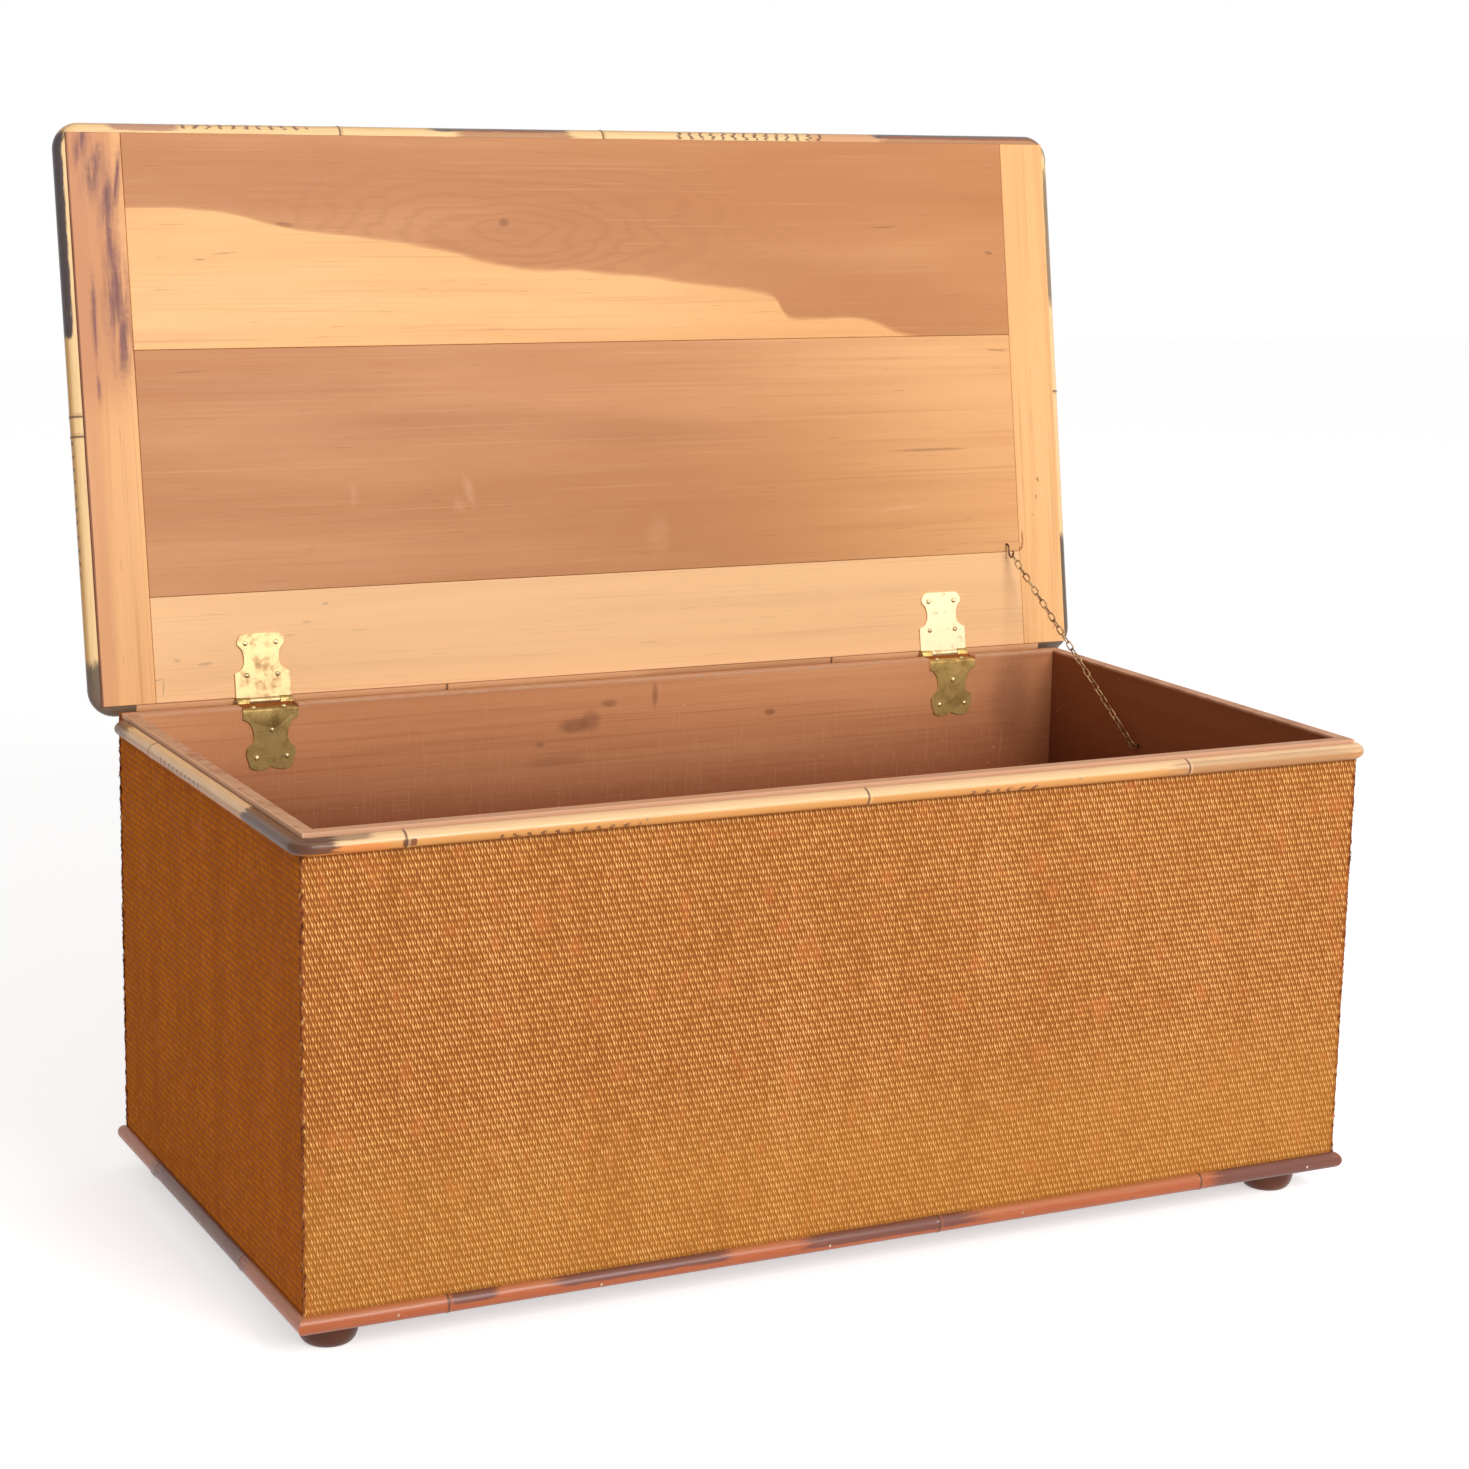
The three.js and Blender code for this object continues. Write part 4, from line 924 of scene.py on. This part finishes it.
# The lid cane's pale lower tint is a painted highlight along its inner edge, over its own golden olive.
lid_material = cane_material("split_cane_lid", ((176, 128, 66), (206, 152, 76), (248, 208, 150)), lid_levels,
                             lid_rings, lid_stains, lid_ticks)
pale_cane("lid_cane_bent", "lid", lid_material, "lid_cane", lid_corners, lid_bend, lid_rings, lid_rise, lid_out,
          cane_place)
rear_rings = (0.26, 0.7)
rear_material = cane_material("split_cane_rear", ((206, 150, 96), (218, 160, 112), (232, 176, 128)), lid_levels,
                              rear_rings, [((150, 96, 60), 0.3, 0.42, 0.05, 0.3, 0.2, 1.0)])
rear_end = edge_x - tail - 0.0003
pale_cane("lid_rear_cane_laid", "lid", rear_material, "lid_rear_cane",
          [(rear_end, edge_back, 0), (-rear_end, edge_back, 0)], 0, rear_rings, lid_rise, lid_out, cane_place)

# Hinges. A pair of pressed brass butt hinges with waisted leaves. The lid leaf is still bright; the box
# leaf, bent over the back wall and down inside, has browned. Both turn on a brass pin.

leaf_ease = 0.00018


def brass_material(name, bright, dull, tarnish, polish):
    """Pressed brass: bright, with cloudy tarnish and fine handling scratches"""
    made, tree = new_material(name)
    here = own_coords(tree)
    scratch = drawn_out(here, (1400, 90, 400), turn=(0.4, 0.3, 0.9))
    mask = span(noise(here, 70.0, 5.0, 0.62) + (scratch - 0.5) * 0.25, *tarnish)
    finish(tree, mixed(mask, bright, dull), span(mask, 0.0, 1.0, *polish), (scratch, 0.0001, 0.25), 0.75)
    return made


# The right hinge is given lighter brass colours than the left: painted light, for the hinge that stands in more light.
for side, lid_bright, lid_dull, lid_tarnish, box_bright, box_dull in (
        ("left", (204, 172, 124), (168, 136, 92), (0.45, 0.7), (188, 158, 96), (134, 106, 58)),
        ("right", (240, 216, 174), (190, 162, 112), (0.55, 0.75), (214, 180, 108), (158, 124, 68))):
    lid_brass = brass_material("bright_hinge_brass_" + side, lid_bright, lid_dull, lid_tarnish, (0.42, 0.55))
    box_brass = brass_material("browned_hinge_brass_" + side, box_bright, box_dull, (0.35, 0.65), (0.4, 0.6))
    eased(side + "_hinge_lid_leaf", leaf_ease, "lid", "bright_brass", lid_brass, 2.5)
    eased(side + "_hinge_box_leaf", leaf_ease, "case", "aged_brass", box_brass, 2.5)
    eased(side + "_hinge_pin", leaf_ease, "case", "aged_brass", box_brass, 2.5)

# Hinge screws. Small round-headed brass wood screws: four up into the lid through each lid leaf, five
# into the back wall through each box leaf.

head_radius = 0.0026
head_rise = 0.0017
head_profile = [(0, 1), (0.4, 0.93), (0.72, 0.7), (0.92, 0.38), (1, 0.06), (0.97, 0), (0.5, 0), (0.5, -1.5), (0, -1.5)]


def screw_head():
    """A domed head with its slot, on a short shank"""
    mesh = filled("screw_head", lathe(head_profile, head_radius, head_rise, 16))
    mesh.shade_smooth()
    made = linked("screw_head", mesh)
    slot = block("slot", (head_radius * 2.4, head_radius * 0.28, head_rise), (0, 0, head_rise * 1.08))
    cut = made.modifiers.new("slot", "BOOLEAN")
    cut.object, cut.operation, cut.solver = slot, "DIFFERENCE", "EXACT"
    slotted = evaluated(made)
    bpy.data.objects.remove(slot)
    slotted.set_sharp_from_angle(angle=math.radians(40))
    return linked("screw_head", slotted)


def aimed(axis, way, angle):
    """The turn that points an axis the given way, spun about that axis by an angle"""
    facing = put(way.tree, "FunctionNodeAlignRotationToVector", {"Vector": way}, axis=axis)
    spin = put(way.tree, "FunctionNodeAxisAngleToRotation", {
        "Axis": [float(axis == other) for other in "XYZ"], "Angle": angle})
    return put(way.tree, "FunctionNodeRotateRotation", {"Rotation": facing, "Rotate By": spin},
               rotation_space="LOCAL")


fastened, given, last = new_growth("fastened_at_points", Fastener="Object", Seed="Int")
twisted = aimed("Z", put(fastened, "GeometryNodeInputNormal"), spread(0.0, 3.14, given["Seed"]))
held = fastened.nodes.new("GeometryNodeCaptureAttribute")
held.domain = "FACE"
held.capture_items.new("ROTATION", "Turn")
join(held, {"Geometry": given["Geometry"], 1: twisted})
middles = put(fastened, "GeometryNodeMeshToPoints", {"Mesh": Varying(held.outputs[0])}, mode="FACES")
in_material(real(sown(middles, given["Fastener"], Varying(held.outputs[1]))), given, last)


def fasten(name, fastener, places, body, slot, material, seed, *stood_for):
    """A fastener at each place, given as the seat's middle and the way the head faces"""
    shell = bmesh.new()
    for middle, out in places:
        middle, out = Vector(middle), Vector(out).normalized()
        side = out.orthogonal().normalized() * 0.001
        other = out.cross(side)
        shell.faces.new([shell.verts.new(middle + side * a + other * b)
                         for a, b in ((1, 1), (-1, 1), (-1, -1), (1, -1))])
    shell.normal_update()
    base = linked(name + "_places", filled(name, shell))
    mesh = grown(fastened, base, {"Fastener": fastener, "Seed": seed, "Material": material})
    shown(name, mesh, body, slot, material, *stood_for)


def seats(screws, out):
    """Where the heads of the named screws sit, each with the way it faces"""
    tips = [max((v.co for v in nodes[screw].data.vertices), key=lambda point: point.dot(out)) for screw in screws]
    return [(tip - out * head_rise, out) for tip in tips]


lid_down = lid_place.to_3x3() @ Vector((0, 0, -1))
head = screw_head()
screw_brass = brass_material("screw_brass", (226, 206, 156), (140, 116, 76), (0.45, 0.7), (0.3, 0.5))
for side, seed in (("left", 3), ("right", 7)):
    lid_screws = [f"{side}_hinge_lid_screw_{n}" for n in (1, 2, 3, 4)]
    plate = [f"{side}_hinge_plate_screw_{n}" for n in (1, 2, 3)]
    flange = [f"{side}_hinge_flange_screw_{n}" for n in (1, 2)]
    fasten(side + "_lid_screws", head, seats(lid_screws, lid_down), "lid", "bright_brass", screw_brass, seed,
           *lid_screws)
    fasten(side + "_case_screws", head, seats(plate, Vector((0, -1, 0))) + seats(flange, Vector((0, 0, 1))),
           "case", "bright_brass", screw_brass, seed + 1, *plate, *flange)

# Cane nails. Small steel pins driven through the canes into the boards behind, a hand or so apart.

nail_radius = 0.0013
# The nails' steel is given pale, warm colours that stand partly for glints: a painted highlight on the heads.
nail_steel_painted_glint, tree = new_material("nail_steel_painted_glint")
worn = span(noise(own_coords(tree), 300.0), 0.4, 0.6)
finish(tree, mixed(worn, (214, 192, 158), (168, 140, 108)), 0.5, metal=0.6)
shell = bmesh.new()
bmesh.ops.create_uvsphere(shell, u_segments=12, v_segments=8, radius=nail_radius)
bmesh.ops.scale(shell, vec=(1, 1, 0.45), verts=shell.verts)
nail = linked("nail", filled("nail", shell))
nail.data.shade_smooth()
places = [((x, front - top_out, top_middle + rise), (0, -1, 0)) for x, rise in ((-0.225, 0.0), (0.21, 0.001))]
places += [((x, front - bottom_out, bottom_middle - drop), (0, -1, 0))
           for x, drop in ((-0.449, 0.001), (-0.261, 0.003), (-0.035, 0.002), (0.169, 0.0), (0.495, 0.001))]
places += [((side * (right + bottom_out), front + y, bottom_middle), (side, 0, 0))
           for side in (-1, 1) for y in (0.06, 0.27, 0.49)]
places += [((x, back + bottom_out, bottom_middle), (0, 1, 0)) for x in (-0.46, -0.2, 0.05, 0.27, 0.48)]
places += [((side * (right + top_out), front + y, top_middle), (side, 0, 0)) for side in (-1, 1) for y in (0.2, 0.5)]
fasten("cane_nails", nail, places, "case", "dark_cane", nail_steel_painted_glint, 5)

# Stay. A tarnished chain of welded oval links holds the lid open. It hangs from a bent wire hook in the
# lid and ends on a small screw eye in the right end board. The links turn a quarter from one to the next.

stay_steel, tree = new_material("tarnished_stay")
cloud = noise(own_coords(tree), 120.0, 4.0)
finish(tree, mixed(span(cloud, 0.36, 0.62), (200, 166, 122), (124, 84, 52)), span(cloud, 0.3, 0.7, 0.3, 0.5),
       metal=0.8)
hook_steel, tree = new_material("browned_hook")
cloud = noise(own_coords(tree), 200.0, 4.0)
finish(tree, mixed(span(cloud, 0.4, 0.62), (128, 88, 56), (72, 44, 28)), 0.45, metal=0.55)


def bent_wire(name, points, radius, closed=False):
    """A round wire along its points, as one closed mesh"""
    base = line_object(name, points)
    curve = base.data
    curve.twist_mode = "MINIMUM"
    curve.bevel_depth, curve.bevel_resolution, curve.use_fill_caps = radius, 3, True
    curve.splines[0].use_cyclic_u = closed
    mesh = evaluated(base)
    mesh.shade_smooth()
    return mesh


along_x, along_y = Vector((1, 0, 0)), Vector((0, 1, 0))
wire = 0.001
hook_x, hook_y, bowl_y, bowl_z, bowl_radius = 0.474, -0.11422, -0.10422, -0.0075, 0.0045
neck, neck_bend = bowl_z + bowl_radius, 0.004
bend = [Vector((hook_x, hook_y, 0.012)), Vector((hook_x, hook_y, neck + neck_bend))]
bend += [Vector((hook_x, hook_y + neck_bend * (1 - math.cos(a)), neck + neck_bend * (1 - math.sin(a))))
         for a in (0.4, 0.8, 1.2)]
bend += [Vector((hook_x, bowl_y + bowl_radius * math.cos(a), bowl_z + bowl_radius * math.sin(a)))
         for a in [math.pi * (0.5 - k / 12) for k in range(13)]]
bend.append(Vector((hook_x, bowl_y - 0.003, bowl_z - bowl_radius)))
hook_mesh = bent_wire("hook", [lid_place @ point for point in bend], wire)
shown("lid_hook_bent", hook_mesh, "lid", "chain_steel", hook_steel, "lid_hook")

chain_start = lid_place @ Vector((hook_x, bowl_y, bowl_z))
chain_end = Vector(frame["joints"][2]["pos_m"])
run = chain_end - chain_start
along = run.normalized()
facing = Vector((0, -run.y, -run.z)).normalized()
eye_radius = 0.004
eye_centre = chain_end - facing * eye_radius
ring = [eye_centre + (facing * math.cos(a) + along_x * math.sin(a)) * eye_radius
        for a in [math.tau * k / 28 for k in range(28)]]
board_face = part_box("right_end_board")[0].x
eye = bmesh.new()
eye.from_mesh(bent_wire("eye_ring", ring, wire, True))
for name, start, end, radius in (("eye_shank", eye_centre.x + 0.0038, board_face + 0.008, wire),
                                 ("eye_collar", board_face - 0.0004, board_face + 0.0004, 0.0018)):
    eye.from_mesh(bent_wire(name, [Vector((x, *eye_centre.yz)) for x in (start, end)], radius))
eye_mesh = filled("wall_eye_formed", eye)
eye_mesh.shade_smooth()
shown("wall_eye_formed", eye_mesh, "case", "chain_steel", hook_steel, "wall_eye")

links, given, last = new_growth("chain_of_links", "First turn", "Turn", Link="Object")
quarters = put(links, "GeometryNodeInputIndex") * given["Turn"] + given["First turn"]
heading = aimed("X", put(links, "GeometryNodeInputTangent"), quarters * (math.pi / 2))
in_material(real(sown(given["Geometry"], given["Link"], heading)), given, last)

# Each link overlaps its neighbour's wire by the fuse; the last one of the run lies across the eye
link_wire, link_width, fuse, gap, hang, link_wish = 0.0015, 0.007, 0.0003, 0.0005, 0.0006, 0.0094
hook_seat = bowl_radius - wire - hang - link_wire / 2
eye_seat = wire + hang + link_wire / 2
chain_span = run.length - hook_seat + eye_seat + 2 * fuse - 3 * link_wire - gap
link_count = 2 * round(chain_span / (2 * link_wish))
pitch = chain_span / link_count
link_half = (pitch - fuse + link_wire) / 2
upper_count = round(link_count * 0.43)
round_end = link_width / 2 - link_wire / 2
flat = along.cross(along_x).normalized().cross(along)
aligned = along_x.rotation_difference(along) @ along_y
last_turn = math.atan2(flat.dot(along.cross(aligned)), flat.dot(aligned)) / (math.pi / 2)
each_turn = 1 + last_turn / (link_count - 1)
outline = [(math.cos(a) * round_end + math.copysign(link_half - round_end, math.cos(a)), math.sin(a) * round_end, 0)
           for a in [math.tau * (k + 0.5) / 16 for k in range(16)]]
link = linked("chain_link", bent_wire("chain_link", outline, link_wire / 2, True))
for name, first, end, extra in (("upper", 0, upper_count, 0.0),
                                ("lower", upper_count, link_count, 2 * link_wire + gap - fuse)):
    base = line_object("chain_line", [chain_start + along * (hook_seat + link_half + k * pitch + extra)
                                      for k in range(first, end)])
    mesh = grown(links, base, {"Link": link, "First turn": first * each_turn, "Turn": each_turn,
                               "Material": stay_steel})
    shown(f"chain_{name}_links", mesh, name + "_chain", "chain_steel", stay_steel, "chain_" + name)

for made in (grass_blade, head, nail, link):
    bpy.data.objects.remove(made)

# Studio. A pale floor under a white surround, a large soft lamp high on the right and a weaker one on
# the left, and the camera at the picture's own angle.

floor_half = 9
shaded, white = 0.45, 0.55
photo_width, sensor, focal_pixels = 1469, 36, 3125.0551
floor_mesh = bpy.data.meshes.new("floor")
corners = [(x * floor_half, y * floor_half, 0) for x, y in ((-1, -1), (1, -1), (1, 1), (-1, 1))]
floor_mesh.from_pydata(corners, [], [(0, 1, 2, 3)])
linked("floor", floor_mesh)


def seen(tree):
    """1 where the camera, a reflection or a clear thing looks at it"""
    return highest(put(tree, "ShaderNodeLightPath", out=f"Is {kind} Ray")
                   for kind in ("Camera", "Glossy", "Transmission"))


floor_paint, tree = new_material("floor_paint")
finish(tree, (0.86, 0.85, 0.84, 1), 0.9)
glow = put(tree, "ShaderNodeEmission", {"Color": (1, 1, 1, 1), "Strength": seen(tree) * white})
pale_floor = Varying(tree.nodes["Principled BSDF"].outputs[0])
join(tree.nodes["Material Output"], {"Surface": put(tree, "ShaderNodeAddShader", {0: pale_floor, 1: glow})})
floor_mesh.materials.append(floor_paint)

world = bpy.data.worlds.new("surround")
bpy.context.scene.world = world
world.use_nodes = True
tree = world.node_tree
join(tree.nodes["Background"], {"Color": (1, 1, 1, 1), "Strength": seen(tree) * white + shaded})


def soft_lamp(name, place, target, size, power):
    """A large square lamp that faces its target"""
    lamp = bpy.data.lights.new(name, "AREA")
    lamp.shape, lamp.size, lamp.energy = "SQUARE", size, power
    made = linked(name, lamp)
    made.location = place
    made.rotation_euler = (Vector(target) - Vector(place)).to_track_quat("-Z", "Y").to_euler()


soft_lamp("key_lamp", (0.85, -4.15, 2.5), (0, 0, 0.5), 2.2, 158)
soft_lamp("fill_lamp", (-2.4, -2.4, 2.4), (0, 0, 0.4), 2.2, 8)

camera_data = bpy.data.cameras.new("camera")
camera_data.sensor_width = sensor
camera_data.lens = sensor * focal_pixels / photo_width
camera = linked("camera", camera_data)
to_right = Vector((0.89455, -0.44648, 0.02085))
to_top = Vector((0.07177, 0.18953, 0.97925))
to_back = -Vector((0.44116, 0.87449, -0.20159))
stand = Vector((-1.32504, -2.35082 + front, 1.05233))
camera.matrix_world = Matrix.Translation(stand) @ Matrix((to_right, to_top, to_back)).transposed().to_4x4()
bpy.context.scene.camera = camera
bpy.context.scene.view_settings.view_transform = "Standard"
